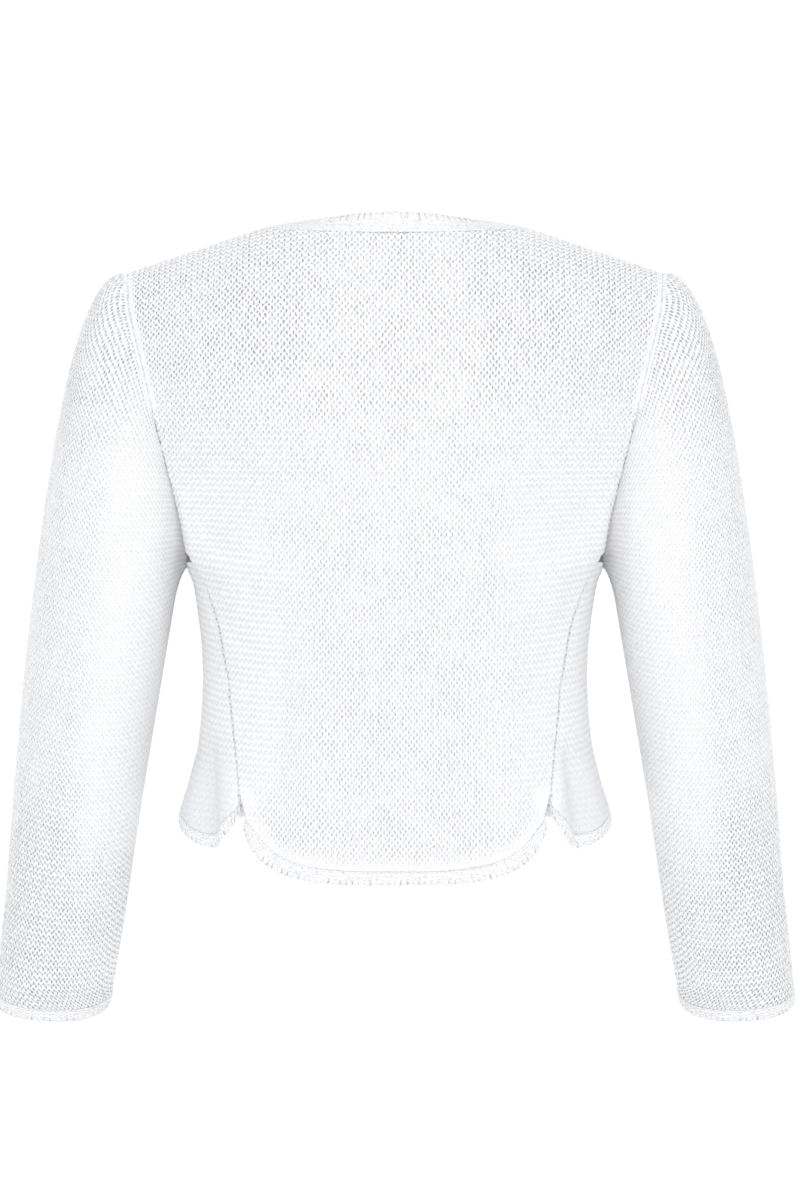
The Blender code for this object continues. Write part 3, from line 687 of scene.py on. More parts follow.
# ---------------------------------------------------------------- soft folds
# part, face (1 behind, -1 before, 0 both), from (x, z), to (x, z), half width, depth
SOFT = (
    ("trunk", 1, (131.5, -372), (129.5, -434), 4.6, -4.2),
    ("trunk", 1, (141.0, -384), (144.0, -430), 5.0, 1.6),
    ("trunk", 1, (121.0, -384), (119.0, -438), 5.5, 1.2),
    ("trunk", 1, (-124.0, -378), (-130.5, -434), 4.4, -4.6),
    ("trunk", 1, (-138.0, -382), (-142.0, -430), 6.0, 2.0),
    ("trunk", 1, (-116.0, -390), (-117.0, -440), 5.0, 1.3),
    ("trunk", 1, (136.0, -212), (98.0, -262), 9.0, -1.6),
    ("trunk", 1, (132.0, -250), (104.0, -300), 8.0, -1.2),
    ("trunk", 1, (-134.0, -206), (-92.0, -254), 10.0, -1.5),
    ("trunk", 1, (-130.0, -246), (-108.0, -310), 7.5, -1.4),
    ("trunk", 1, (128.0, -318), (74.0, -336), 9.0, -1.0),
    ("trunk", 1, (-126.0, -324), (-66.0, -348), 10.0, -1.1),
    ("trunk", 1, (54.0, -322), (60.0, -440), 13.0, 1.7),
    ("trunk", 1, (80.0, -300), (84.0, -430), 10.0, -1.5),
    ("trunk", 1, (-40.0, -300), (-52.0, -446), 14.0, -1.6),
    ("trunk", 1, (-78.0, -290), (-82.0, -420), 12.0, 1.5),
    ("trunk", 1, (6.0, -340), (2.0, -455), 15.0, -1.4),
    ("trunk", 1, (30.0, -180), (22.0, -290), 16.0, -1.2),
    ("trunk", 1, (-66.0, -150), (-54.0, -250), 15.0, 1.2),
    ("trunk", -1, (134.0, -214), (92.0, -258), 10.0, -1.8),
    ("trunk", -1, (-132.0, -210), (-86.0, -266), 9.0, -1.6),
    ("trunk", -1, (96.0, -330), (102.0, -420), 9.0, 1.8),
    ("trunk", -1, (-84.0, -318), (-92.0, -420), 10.0, 1.6),
    ("trunk", -1, (48.0, -296), (40.0, -410), 9.0, -1.4),
    ("trunk", -1, (-58.0, -300), (-46.0, -410), 8.0, -1.5),
    ("sleeve_left", 1, (176.0, -200), (214.0, -262), 9.0, -1.6),
    ("sleeve_left", 1, (194.0, -330), (236.0, -352), 9.0, -1.3),
    ("sleeve_left", 1, (200.0, -386), (238.0, -366), 8.0, -1.2),
    ("sleeve_left", 1, (214.0, -430), (226.0, -520), 10.0, 1.2),
    ("sleeve_left", -1, (186.0, -292), (232.0, -336), 9.0, -2.0),
    ("sleeve_left", -1, (198.0, -372), (244.0, -352), 9.0, -1.8),
    ("sleeve_left", -1, (204.0, -404), (250.0, -408), 8.0, -1.2),
    ("sleeve_right", 1, (-178.0, -190), (-208.0, -270), 9.0, -1.7),
    ("sleeve_right", 1, (-196.0, -320), (-244.0, -338), 8.0, -1.2),
    ("sleeve_right", 1, (-206.0, -398), (-246.0, -372), 9.0, -1.4),
    ("sleeve_right", 1, (-236.0, -440), (-240.0, -530), 9.0, 1.1),
    ("sleeve_right", -1, (-188.0, -300), (-238.0, -340), 9.0, -2.0),
    ("sleeve_right", -1, (-200.0, -384), (-246.0, -360), 9.0, -1.6),
)


def drape(pts, part):
    """Soft troughs and ridges over a part, the same for every piece of it."""
    if part == "trunk":
        out = pts[:, :2] - (0.0, -8.0)
        front_of = pts[:, 1]
    else:
        z = pts[:, 2]
        x0 = (smooth(SLEEVE, "x", z) - 0.14 * np.maximum(0.0, z + 265.0))
        x0 = x0 if part.endswith("left") else -x0
        y0 = smooth(SLEEVE, "y", z)
        out = np.stack([pts[:, 0] - x0, pts[:, 1] - y0], -1)
        front_of = pts[:, 1] - y0
    out = unit(out)
    push = np.zeros(len(pts))
    flat = pts[:, [0, 2]]
    for who, face, a, b, wide, deep in SOFT:
        if who != part:
            continue
        a, b = np.array(a, float), np.array(b, float)
        d = b - a
        t = np.clip(((flat - a) @ d) / (d @ d), -0.35, 1.35)
        off = np.linalg.norm(flat - a - t[:, None] * d, axis=1)
        ends = ease((t + 0.3) / 0.45) * ease((1.3 - t) / 0.35)
        push += deep * np.exp(-(off / wide) ** 2) * ends * ease(0.5 + face * front_of / 24.0)
    moved = pts.copy()
    moved[:, :2] += out * push[:, None]
    return moved


# ---------------------------------------------------------------- seams: what is near a point
arm_phi = np.linspace(0, math.pi, 90)
ARM_BACK_LINE = armhole_point(arm_phi)
ARM_FRONT_LINE = armhole_point(-arm_phi)
ARM_LOW = ARM_BACK_LINE[(ARM_BACK_LINE[:, 2] < -128) & (ARM_BACK_LINE[:, 2] > -236)]
ARM_LOW_F = ARM_FRONT_LINE[(ARM_FRONT_LINE[:, 2] < -128) & (ARM_FRONT_LINE[:, 2] > -236)]
PRINCESS_LINE = SIDE[::2, 0]
SIDE_LINE = SIDE[::2, -1]
PLAIN_ARM = ARM_BACK_LINE[ARM_BACK_LINE[:, 2] > -130]
PLAIN_ARM_F = ARM_FRONT_LINE[ARM_FRONT_LINE[:, 2] > -130]
NOTCH = np.array([SIDE[-1, 0]])


def step_down(d, a, b):
    return 1 - ease((d - a) / (b - a))


def zone(pts, piece, bottom):
    """How plain the knit is at each point, and how far the nearest dotted seam is."""
    p = pts.copy()
    p[:, 0] = np.abs(p[:, 0])
    # the rows above the hem close up little by little; the cuffs' rows stay open
    plain = step_down(nearest(p, bottom[::2]), 0.2, 1.2 if piece == "sleeve" else 12.0)
    seam = np.full(len(p), 20.0)
    if piece in ("back", "front"):
        arm = PLAIN_ARM if piece == "back" else PLAIN_ARM_F
        low = ARM_LOW if piece == "back" else ARM_LOW_F
        plain = np.maximum(plain, step_down(nearest(p, arm), 3.6, 5.2))
        d = nearest(p, low)
        seam = np.minimum(seam, np.where(d < 3.2, d, np.abs(d - 5.4) + 0.9))
    if piece == "sleeve":
        lines = np.concatenate([PLAIN_ARM, PLAIN_ARM_F])
        plain = np.maximum(plain, step_down(nearest(p, lines), 2.4, 4.0))
        seam = np.minimum(seam, nearest(p, np.concatenate([ARM_LOW, ARM_LOW_F])))
    if piece in ("back", "side"):
        seam = np.minimum(seam, nearest(p, PRINCESS_LINE))
        plain = np.maximum(plain, 0.9 * step_down(nearest(p, NOTCH), 9.0, 17.0))
    if piece == "side":
        plain = np.maximum(plain, 0.75 * ease((-372.0 - p[:, 2]) / 26.0))
    if piece in ("front", "side"):
        seam = np.minimum(seam, nearest(p, SIDE_LINE))
    return plain, np.minimum(seam, 20.0)


def relief(uv, plain, stitch):
    """The stitches' own height: rows as ridges, with an eyelet beside every loop."""
    u, v = uv[:, 0] / stitch[0], uv[:, 1] / stitch[1]
    cell = -np.cos(2 * math.pi * u) * np.sin(2 * math.pi * v)
    high = 0.30 * np.cos(2 * math.pi * v) - 0.55 * np.maximum(cell, 0) + 0.18 * np.maximum(-cell, 0)
    return (1 - 0.7 * plain) * high


def cloth_piece(name, cut, piece, part, node, material, mirror=False):
    (po, uvo, to, *more), (pi, uvi, ti, *_) = cut["sides"]
    flip = np.array([-1.0, 1.0, 1.0]) if mirror else np.ones(3)
    po, pi = drape(po * flip, part), drape(pi * flip, part)
    if cut["tube"]:
        weld_o, weld_i = cut["sides"][0][3], cut["sides"][1][3]
    else:
        weld_o, weld_i = np.arange(len(po)), np.arange(len(pi))
    n_o, n_i = normals_of(po, weld_o[to]), normals_of(pi, weld_i[ti])
    n_o, n_i = n_o[weld_o], n_i[weld_i]
    if part == "trunk":
        ref = po * (1, 1, 0)
    else:
        ref = po - np.stack([np.sign(po[:, 0]) * smooth(SLEEVE, "x", po[:, 2]),
                             smooth(SLEEVE, "y", po[:, 2]), po[:, 2]], -1)
    sign = 1.0 if np.mean((n_o * ref).sum(1)) > 0 else -1.0
    n_o, n_i = n_o * sign, n_i * sign
    n = cut["n"]
    plain, seam = zone(po, piece, cut["bottom"])
    half = 0.5 * CLOTH
    outer = po + n_o * (half + relief(uvo, plain, cut["stitch"]))[:, None]
    inner = pi - n_i * half
    verts = np.concatenate([outer, inner])
    base = len(outer)
    tri_o, tri_i = weld_o[to], weld_i[ti][:, ::-1] + base
    quads, rim_uv = [], []
    for ro, ri in cut["rims"]:
        quads.append(np.stack([weld_o[ro[:, 0]], weld_o[ro[:, 1]], weld_i[ri[:, 1]] + base,
                               weld_i[ri[:, 0]] + base], -1))
    quads = np.concatenate(quads)
    # flat places for the bake: the two sides next to each other, the rim in a strip below
    lo = np.minimum(uvo.min(0), uvi.min(0))
    size = np.maximum(uvo.max(0), uvi.max(0)) - lo
    scale = min(0.48 / size[0], 0.945 / size[1])
    bake_o = (uvo - lo) * scale + (0.008, 0.045)
    bake_i = (uvi - lo) * scale + (0.512, 0.045)
    along = np.linalg.norm(verts[quads[:, 0]] - verts[quads[:, 1]], axis=1)
    ends = np.cumsum(along)
    k = 0.984 / ends[-1]
    a, b = (ends - along) * k + 0.008, ends * k + 0.008
    rim_bake = np.stack([np.stack([a, np.full_like(a, 0.032)], -1), np.stack([b, np.full_like(a, 0.032)], -1),
                         np.stack([b, np.full_like(a, 0.010)], -1), np.stack([a, np.full_like(a, 0.010)], -1)], 1)
    knit_o, knit_i = uvo / cut["stitch"], uvi / cut["stitch"]
    zone_o = np.stack([plain, seam / 20.0], -1)
    rim_knit, rim_zone = [], []
    for ro, ri in cut["rims"]:
        rim_knit.append(np.stack([knit_o[ro[:, 0]], knit_o[ro[:, 1]], knit_i[ri[:, 1]], knit_i[ri[:, 0]]], 1))
        rim_zone.append(np.ones((len(ro), 4, 2)))
    faces = [tri_o, tri_i, quads]
    if sign < 0:
        faces = [f[:, ::-1] for f in faces]
    back = slice(None, None, -1) if sign < 0 else slice(None)
    parts = {
        "OFBake": [bake_o[to][:, back], bake_i[ti[:, ::-1]][:, back], rim_bake[:, back]],
        "Knit": [knit_o[to][:, back], knit_i[ti[:, ::-1]][:, back], np.concatenate(rim_knit)[:, back]],
        "Zone": [zone_o[to][:, back], np.stack([np.zeros(len(pi)), np.ones(len(pi))], -1)[ti[:, ::-1]][:, back],
                 np.concatenate(rim_zone)[:, back]],
    }
    uvs = {key: np.concatenate([p.reshape(-1, 2) for p in val]) for key, val in parts.items()}
    obj = make_mesh(name, verts, faces, uvs, material)
    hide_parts(node)
    v0, v1, v2 = (po[to[:, c]] for c in range(3))
    area = 0.5 * np.linalg.norm(np.cross(v1 - v0, v2 - v0), axis=1).sum()
    flat = uvo.copy()
    if piece in ("back", "front"):          # millimetres of cloth again, not stitches
        flat[:, 0] /= pull_in(po[:, 2])
    flat = flat.max(0) - flat.min(0)
    print("PIECE", name, len(obj.data.polygons), "faces", "flat", np.round(flat, 1), "area", round(area / 1e6, 4))
    return obj, flat, area


# ---------------------------------------------------------------- crocheted bands
def spline(rows, at, closed=False):
    """Smooth curve through rows of points, read at even shares of its length."""
    pts = np.asarray(rows, float)
    if closed:
        pts = np.concatenate([pts, pts[:1]])
    step = np.maximum(1e-6, np.linalg.norm(np.diff(pts, axis=0), axis=1))
    t = np.concatenate([[0], np.cumsum(step)])
    slope = np.diff(pts, axis=0) / step[:, None]
    m = np.empty_like(pts)
    m[1:-1] = ((slope[:-1] * step[1:, None] + slope[1:] * step[:-1, None])
               / (step[1:] + step[:-1])[:, None])
    m[0], m[-1] = slope[0], slope[-1]
    if closed:
        m[0] = m[-1] = (slope[0] * step[-1] + slope[-1] * step[0]) / (step[0] + step[-1])
    x = np.asarray(at, float) * t[-1]
    k = np.clip(np.searchsorted(t, x, side="right") - 1, 0, len(step) - 1)
    h = step[k]
    q = ((x - t[k]) / h)[:, None]
    h = h[:, None]
    return ((2 * q**3 - 3 * q**2 + 1) * pts[k] + (q**3 - 2 * q**2 + q) * h * m[k]
            + (3 * q**2 - 2 * q**3) * pts[k + 1] + (q**3 - q**2) * h * m[k + 1])


def band(name, curves, part, node, material, pitch=4.2, wall=2.7, closed=False, mirror=False,
         picot=0.9, groove=0.34, outward=None, fine=6):
    """A band between its joined edge and its free edge, stitch by stitch: radial stitches
    with grooves between them, and small scallops along the free edge."""
    curves = [np.asarray(c, float) for c in curves]
    mid = sum(curves) / len(curves)
    ring = np.concatenate([mid, mid[:1]]) if closed else mid
    step = np.linalg.norm(np.diff(ring, axis=0), axis=1)
    t = np.concatenate([[0], np.cumsum(step)])
    count = max(8, int(round(t[-1] / pitch)))
    stations = count * fine
    x = np.linspace(0, t[-1], stations + 1)
    if closed:
        x = x[:-1]
    rows = []
    for c in curves:
        c = np.concatenate([c, c[:1]]) if closed else c
        rows.append(np.stack([np.interp(x, t, c[:, k]) for k in range(3)], -1))
    flip = np.array([-1.0, 1.0, 1.0]) if mirror else np.ones(3)
    rows = [drape(r * flip, part) for r in rows]
    phase = x / t[-1] * count
    # every stitch of the band is a little larger or smaller than the next
    rng = np.random.RandomState(len(name) * 7 + count)
    wander = np.interp(phase, np.arange(-2, count + 3), rng.uniform(-0.16, 0.16, count + 5))
    wander = wander * (np.minimum(phase, count - phase) > 1) if closed else wander
    loop_size = rng.uniform(0.35, 1.5, count + 2)[np.clip(np.round(phase).astype(int), 0, count)]
    if closed:
        loop_size[phase > count - 0.5] = loop_size[0]
    phase_w = phase + wander
    crest = 0.5 + 0.5 * np.cos(2 * math.pi * phase_w)
    shares = np.array([0.0, 0.05, 0.125, 0.25, 0.375, 0.5, 0.625, 0.75, 0.875, 0.96, 1.0])

    def at(a):
        if len(rows) == 2:
            return rows[0] * (1 - a) + rows[1] * a
        if a <= 0.5:
            lo, hi, q = rows[0], rows[1], 2 * a
        else:
            lo, hi, q = rows[1], rows[2], 2 * a - 1
        bend = 0.25 * (rows[0] - 2 * rows[1] + rows[2])
        return lo * (1 - q) + hi * q - bend * 4 * q * (1 - q) * 0.5

    def along(p):
        if closed:
            return unit(np.roll(p, -1, 0) - np.roll(p, 1, 0))
        return unit(np.gradient(p, axis=0))

    tangent = along(at(0.5))
    width = unit(rows[-1] - rows[0])
    face = unit(np.cross(tangent, width))
    ref = at(0.5) - (outward if outward is not None else np.array((0.0, 0.0, 0.0)))
    if outward is None:
        ref = ref * (1, 1, 0)
    elif mirror:
        ref = at(0.5) - outward * (-1, 1, 1)
    face = np.where((face * ref).sum(1, keepdims=True) < 0, -face, face)
    if np.mean((face * ref).sum(1)) < 0:
        face = -face
    profile, height = [], []
    for a in shares:
        round_off = (1 - abs(2 * a - 1) ** (3.2 if a > 0.5 else 8.0)) ** 0.5
        round_off = max(round_off, 0.62) if a < 0.5 else round_off
        stitch = groove * (crest - 0.5) * 2 * (0.25 + 0.75 * a) * min(1.0, 6 * (1 - a) + 0.35)
        ribs = -0.12 * math.cos(2 * math.pi * a * 4.0)
        lift = 0.5 * wall * round_off + (stitch + ribs) * round_off ** 0.5
        reach = picot * (crest ** 1.6 * loop_size - 0.4) * float(ease((a - 0.55) / 0.45))
        sway = 0.35 * np.sin(2 * math.pi * phase) * float(ease((a - 0.3) / 0.7))
        profile.append(at(a) + face * lift[:, None] + width * reach[:, None] + tangent * sway[:, None])
    for a in shares[1:-1][::-1][::2]:
        round_off = (1 - abs(2 * a - 1) ** (3.2 if a > 0.5 else 8.0)) ** 0.5
        reach = picot * (crest ** 1.6 * loop_size - 0.4) * float(ease((a - 0.55) / 0.45))
        profile.append(at(a) - face * (0.5 * wall * round_off) + width * (reach[:, None] if a > 0.6 else 0.0))
    K, N = len(profile), len(x)
    verts = np.concatenate(profile)          # vertex (k, i) is k * N + i
    q = []
    last = N if closed else N - 1
    i = np.arange(last)
    j = (i + 1) % N
    for k in range(K):
        m = (k + 1) % K
        q.append(np.stack([k * N + i, k * N + j, m * N + j, m * N + i], -1))
    spread = list(shares) + list(shares[1:-1][::-1][::2]) + [0.0]
    length, girth = t[-1], 2 * np.linalg.norm(rows[-1] - rows[0], axis=1).mean() + 2 * wall
    lines = max(1, int(round(math.sqrt(length / girth))))
    share = np.arange(last) / last
    line = np.floor(share * lines + 1e-9)
    u0, u1 = share * lines - line, (np.arange(last) + 1) / last * lines - line
    knit, bake = [], []
    around = np.linspace(0, 1, K + 1)
    for k in range(K):
        v0, v1 = spread[k], spread[k + 1]
        ph0, ph1 = i / fine, (i + 1) / fine
        side = 0.0 if k < len(shares) - 1 else 2.0
        knit.append(np.stack([np.stack([ph0, np.full(last, v0 + side)], -1), np.stack([ph1, np.full(last, v0 + side)], -1),
                              np.stack([ph1, np.full(last, v1 + side)], -1), np.stack([ph0, np.full(last, v1 + side)], -1)], 1))
        lo = (line + 0.04 + 0.92 * around[k]) / lines
        hi = (line + 0.04 + 0.92 * around[k + 1]) / lines
        left, right = 0.005 + 0.99 * u0, 0.005 + 0.99 * u1
        bake.append(np.stack([np.stack([left, lo], -1), np.stack([right, lo], -1),
                              np.stack([right, hi], -1), np.stack([left, hi], -1)], 1))
    quads = np.concatenate(q)
    knit, bake = np.concatenate(knit), np.concatenate(bake)
    # outward faces: the first outer strip's normal points along face
    f0 = np.cross(verts[quads[3 * last, 1]] - verts[quads[3 * last, 0]], verts[quads[3 * last, 3]] - verts[quads[3 * last, 0]])
    if f0 @ face[0] < 0:
        quads, knit, bake = quads[:, ::-1], knit[:, ::-1], bake[:, ::-1]
        turned = True
    else:
        turned = False
    faces = [quads]
    uvs = {"OFBake": [bake.reshape(-1, 2)], "Knit": [knit.reshape(-1, 2)], "Zone": [np.zeros((len(quads) * 4, 2))]}
    if not closed:
        for end, here in ((0, 0), (1, N - 1)):
            ids = np.arange(K) * N + here
            center = len(verts)
            verts = np.concatenate([verts, verts[ids].mean(0)[None]])
            tri = np.stack([np.full(K, center), ids, np.roll(ids, -1)], -1)
            ok = (end == 0) != turned
            tri = tri if ok else tri[:, ::-1]
            ang = np.linspace(0, 2 * math.pi, K + 1)
            # the two ends are baked in small fans in the sheet's margin
            c = np.array([0.0022, 0.3 + 0.3 * end])
            fan = np.stack([np.tile(c, (K, 1)), c + 0.0018 * np.stack([np.cos(ang[:-1]), np.sin(ang[:-1])], -1),
                            c + 0.0018 * np.stack([np.cos(ang[1:]), np.sin(ang[1:])], -1)], 1)
            fan = fan if ok else fan[:, ::-1]
            faces.append(tri)
            uvs["OFBake"].append(fan.reshape(-1, 2))
            uvs["Knit"].append(np.zeros((K * 3, 2)) + (0.0, 0.5))
            uvs["Zone"].append(np.zeros((K * 3, 2)))
    obj = make_mesh(name, verts, faces, {k: np.concatenate(v) for k, v in uvs.items()}, material)
    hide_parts(node)
    print("BAND", name, len(obj.data.polygons), "faces", round(length, 1), "mm")
    return obj


# ---------------------------------------------------------------- materials
class Nodes:
    """Short hand for a material's node tree."""

    def __init__(self, name, rough, sheen, specular=0.25):
        self.mat = bpy.data.materials.new(name)
        self.mat.use_nodes = True
        self.tree = self.mat.node_tree
        self.shader = self.tree.nodes["Principled BSDF"]
        self.shader.inputs["Roughness"].default_value = rough
        self.shader.inputs["Sheen Weight"].default_value = sheen
        self.shader.inputs["Sheen Roughness"].default_value = 0.45
        self.shader.inputs["Specular IOR Level"].default_value = specular

    def new(self, kind, **settings):
        node = self.tree.nodes.new(kind)
        for key, value in settings.items():
            setattr(node, key, value)
        return node

    def link(self, a, b):
        self.tree.links.new(a, b)

    def math(self, op, a, b=None, c=None):
        node = self.new("ShaderNodeMath", operation=op)
        for i, v in enumerate((a, b, c)):
            if v is None:
                continue
            if isinstance(v, (int, float)):
                node.inputs[i].default_value = v
            else:
                self.link(v, node.inputs[i])
        return node.outputs[0]

    def wave(self, kind, x, turns=1.0, shift=0.0):
        return self.math(kind, self.math("MULTIPLY_ADD", x, 2 * math.pi * turns, shift))

    def step(self, x, lo, hi):
        node = self.new("ShaderNodeMapRange", interpolation_type="SMOOTHSTEP")
        self.link(x, node.inputs["Value"])
        node.inputs["From Min"].default_value = lo
        node.inputs["From Max"].default_value = hi
        return node.outputs[0]

    def uv(self, name):
        node = self.new("ShaderNodeUVMap", uv_map=name)
        split = self.new("ShaderNodeSeparateXYZ")
        self.link(node.outputs[0], split.inputs[0])
        return split.outputs[0], split.outputs[1]

    def place(self):
        where = self.new("ShaderNodeTexCoord")
        split = self.new("ShaderNodeSeparateXYZ")
        self.link(where.outputs["Object"], split.inputs[0])
        return split.outputs

    def facing_up(self):
        face = self.new("ShaderNodeNewGeometry")
        split = self.new("ShaderNodeSeparateXYZ")
        self.link(face.outputs["Normal"], split.inputs[0])
        return split.outputs[2]

    def noise(self, scale, detail=2.0, shift=(0.0, 0.0, 0.0)):
        where = self.new("ShaderNodeTexCoord")
        move = self.new("ShaderNodeVectorMath", operation="ADD")
        self.link(where.outputs["Object"], move.inputs[0])
        move.inputs[1].default_value = shift
        node = self.new("ShaderNodeTexNoise")
        self.link(move.outputs[0], node.inputs["Vector"])
        node.inputs["Scale"].default_value = scale
        node.inputs["Detail"].default_value = detail
        return node.outputs["Fac"]

    def cell_noise(self, u, v):
        join = self.new("ShaderNodeCombineXYZ")
        self.link(self.math("FLOOR", self.math("MULTIPLY_ADD", u, 2.0, 0.5)), join.inputs[0])
        self.link(self.math("FLOOR", self.math("MULTIPLY_ADD", v, 2.0, 0.0)), join.inputs[1])
        node = self.new("ShaderNodeTexWhiteNoise", noise_dimensions="2D")
        self.link(join.outputs[0], node.inputs["Vector"])
        return node.outputs["Value"]

    def mix(self, fac, a, b):
        node = self.new("ShaderNodeMix", data_type="RGBA")
        self.link(fac, node.inputs[0])
        for k, v in ((6, a), (7, b)):
            if isinstance(v, tuple):
                node.inputs[k].default_value = (*v, 1.0)
            else:
                self.link(v, node.inputs[k])
        return node.outputs[2]

    def finish(self, color, height, metres):
        self.link(color, self.shader.inputs["Base Color"])
        # the fuzz of the yarn is not equally rough everywhere
        self.link(self.math("MULTIPLY_ADD", self.noise(90.0, 2.0, (5.0, 1.0, 8.0)), 0.14, 0.80),
                  self.shader.inputs["Roughness"])
        bump = self.new("ShaderNodeBump")
        bump.inputs["Strength"].default_value = 1.0
        bump.inputs["Distance"].default_value = metres
        self.link(height, bump.inputs["Height"])
        self.link(bump.outputs[0], self.shader.inputs["Normal"])
        return self.mat


def knit_material():
    n = Nodes("knit_cotton", 0.88, 0.2, 0.15)
    u, v = n.uv("Knit")
    plain, seam = n.uv("Zone")
    shut = plain
    plain = n.math("MULTIPLY", plain, 0.82)
    bare = n.math("SUBTRACT", 1.0, plain)
    # each stitch is a little out of line, and more open or closed than its neighbours
    ua = n.math("MULTIPLY_ADD", n.math("SUBTRACT", n.noise(260.0, 1.0), 0.5), 0.62, u)
    va = n.math("MULTIPLY_ADD", n.math("SUBTRACT", n.noise(230.0, 1.0, (3.1, 7.7, 1.3)), 0.5), 0.50, v)
    each = n.cell_noise(u, v)
    patch = n.step(n.noise(48.0, 2.0, (9.0, 2.0, 4.0)), 0.34, 0.66)
    open_by = n.math("MULTIPLY", n.math("MULTIPLY_ADD", each, 0.55, 0.50), n.math("MULTIPLY_ADD", patch, 0.28, 0.60))
    # the yoke and the lower sleeves are stretched a little more open
    x, y, z = n.place()
    wide_open = n.math("ADD", n.math(
        "MULTIPLY", n.step(z, -0.20, -0.05), n.math(
            "MULTIPLY_ADD", n.step(n.math("ABSOLUTE", x), 0.03, 0.10), 0.50, 0.22)), n.math("MULTIPLY", n.math(
        "MULTIPLY", n.step(z, -0.38, -0.46), n.step(n.math("ABSOLUTE", x), 0.165, 0.175)), 0.55))
    open_by = n.math("MULTIPLY", open_by, n.math("ADD", wide_open, 0.72))
    # rows lie closer and roll over where the cloth turns upwards
    roll = n.step(n.facing_up(), 0.45, 0.88)
    open_by = n.math("MULTIPLY", open_by, n.math("MULTIPLY_ADD", roll, -0.75, 1.0))
    # the flanks are knitted tighter: there the rows show more than the eyelets
    ragged = n.math("MULTIPLY_ADD", n.noise(9.0, 2.0, (4.0, 4.0, 1.0)), 0.12, n.math("ABSOLUTE", x))
    flank = n.math("MULTIPLY", n.step(ragged, 0.115, 0.185), n.step(n.math("ABSOLUTE", x), 0.172, 0.158))
    flank = n.math("MULTIPLY", flank, n.step(z, -0.08, -0.23))
    open_by = n.math("MULTIPLY", open_by, n.math("MULTIPLY_ADD", flank, -0.6, 1.0))
    # so is the side of the sleeves next to the body
    past = n.math("SUBTRACT", n.math("ABSOLUTE", x), n.math("MULTIPLY_ADD", z, -0.105, 0.188))
    near = n.math("MULTIPLY", n.step(past, 0.012, -0.016), n.step(n.math("ABSOLUTE", x), 0.158, 0.172))
    near = n.math("MULTIPLY", near, n.step(z, -0.09, -0.16))
    near = n.math("MULTIPLY", near, n.math("SUBTRACT", 1.0, n.math("MULTIPLY", n.step(z, -0.42, -0.50), 0.6)))
    open_by = n.math("MULTIPLY", open_by, n.math("MULTIPLY_ADD", near, -0.45, 1.0))
    # and the lower sleeves are the loosest; the same mask lifts their colour, as painted light
    loose_and_painted_light = n.math("MULTIPLY", n.step(z, -0.34, -0.47), n.step(n.math("ABSOLUTE", x), 0.165, 0.175))
    loose_and_painted_light = n.math("MULTIPLY", loose_and_painted_light, n.math("MULTIPLY_ADD", near, -0.6, 1.0))
    tight = n.math("MULTIPLY_ADD", n.math("MAXIMUM", near, n.math("MULTIPLY", flank, 0.5)), -0.35, 1.0)
    middle = n.math("MULTIPLY", n.step(ragged, 0.195, 0.095), n.step(n.facing_up(), 0.7, 0.3))
    a, b = n.wave("COSINE", ua), n.wave("SINE", va)
    cell = n.math("MULTIPLY", n.math("MULTIPLY", a, b), -1.0)
    lens = n.math("MULTIPLY", n.math("POWER", n.math("ABSOLUTE", a), 2.0),
                  n.math("POWER", n.math("ABSOLUTE", b), 0.5))
    lens = n.math("MULTIPLY", lens, n.math("SIGN", cell))
    hole = n.math("MULTIPLY", n.math("MULTIPLY", n.step(lens, 0.40, 0.95), bare), open_by)
    # tall narrow openings in a chain down every half stitch, widest at the eyelets
    swell = n.math("MULTIPLY_ADD", n.math("MULTIPLY", b, n.math("SIGN", a)), -0.5, 0.5)
    streak = n.math("MULTIPLY", n.math("POWER", n.math("ABSOLUTE", a), 2.2),
                    n.math("MULTIPLY_ADD", swell, 0.56, 0.44))
    streak = n.math("MULTIPLY", n.math("MULTIPLY", streak, bare), n.math("MULTIPLY_ADD", open_by, 0.75, 0.25))
    streak = n.math("MULTIPLY", streak, n.math("MULTIPLY", tight, n.math("MULTIPLY_ADD", middle, 0.42, 1.0)))
    # painted shade: the trough between two rows, darkened in colour only
    painted_trough_shade = n.math("MULTIPLY_ADD", n.wave("COSINE", va), -0.5, 0.5)
    painted_trough_shade = n.math("MULTIPLY", painted_trough_shade, n.math("MULTIPLY_ADD", plain, -0.5, 1.0))
    painted_trough_shade = n.math("MULTIPLY", painted_trough_shade, n.math("MULTIPLY_ADD", n.math("MAXIMUM", n.math("MAXIMUM", n.math("MULTIPLY", flank, 0.7), roll), n.math("MULTIPLY", loose_and_painted_light, 0.6)), 1.5, 0.8))
    painted_trough_shade = n.math("MULTIPLY", painted_trough_shade, n.math("MULTIPLY", n.math("MULTIPLY_ADD", middle, -0.45, 1.0),
                                               n.math("MULTIPLY_ADD", near, -0.2, 1.0)))
    # the wavy hollow between two rows
    zig = n.math("FRACT", n.math("MULTIPLY_ADD", a, -0.25, va))
    zig = n.math("ABSOLUTE", n.math("SUBTRACT", zig, 0.5))
    hollow = n.math("SUBTRACT", 1.0, n.step(zig, 0.03, 0.26))
    hollow = n.math("MULTIPLY", hollow, n.math("MULTIPLY_ADD", plain, -0.55, 1.0))
    hollow = n.math("MULTIPLY", hollow, n.math("MULTIPLY_ADD", n.math("MAXIMUM", roll, n.math("MULTIPLY", loose_and_painted_light, 0.7)), 1.1, 1.0))
    hollow = n.math("MULTIPLY", hollow, n.math("MULTIPLY", tight, n.math("MULTIPLY_ADD", middle, -0.4, 1.0)))
    # painted shade: dark dots in the gaps between the stitches that join two pieces
    far = n.math("ABSOLUTE", n.math("MULTIPLY_ADD", seam, 20.0, -0.6))
    dots = n.math("MULTIPLY", n.math("SUBTRACT", 1.0, n.step(far, 0.4, 1.1)),
                  n.step(n.wave("COSINE", v), 0.2, 0.8))
    dots = n.math("MULTIPLY", dots, n.math("MULTIPLY_ADD", each, 0.7, 0.35))
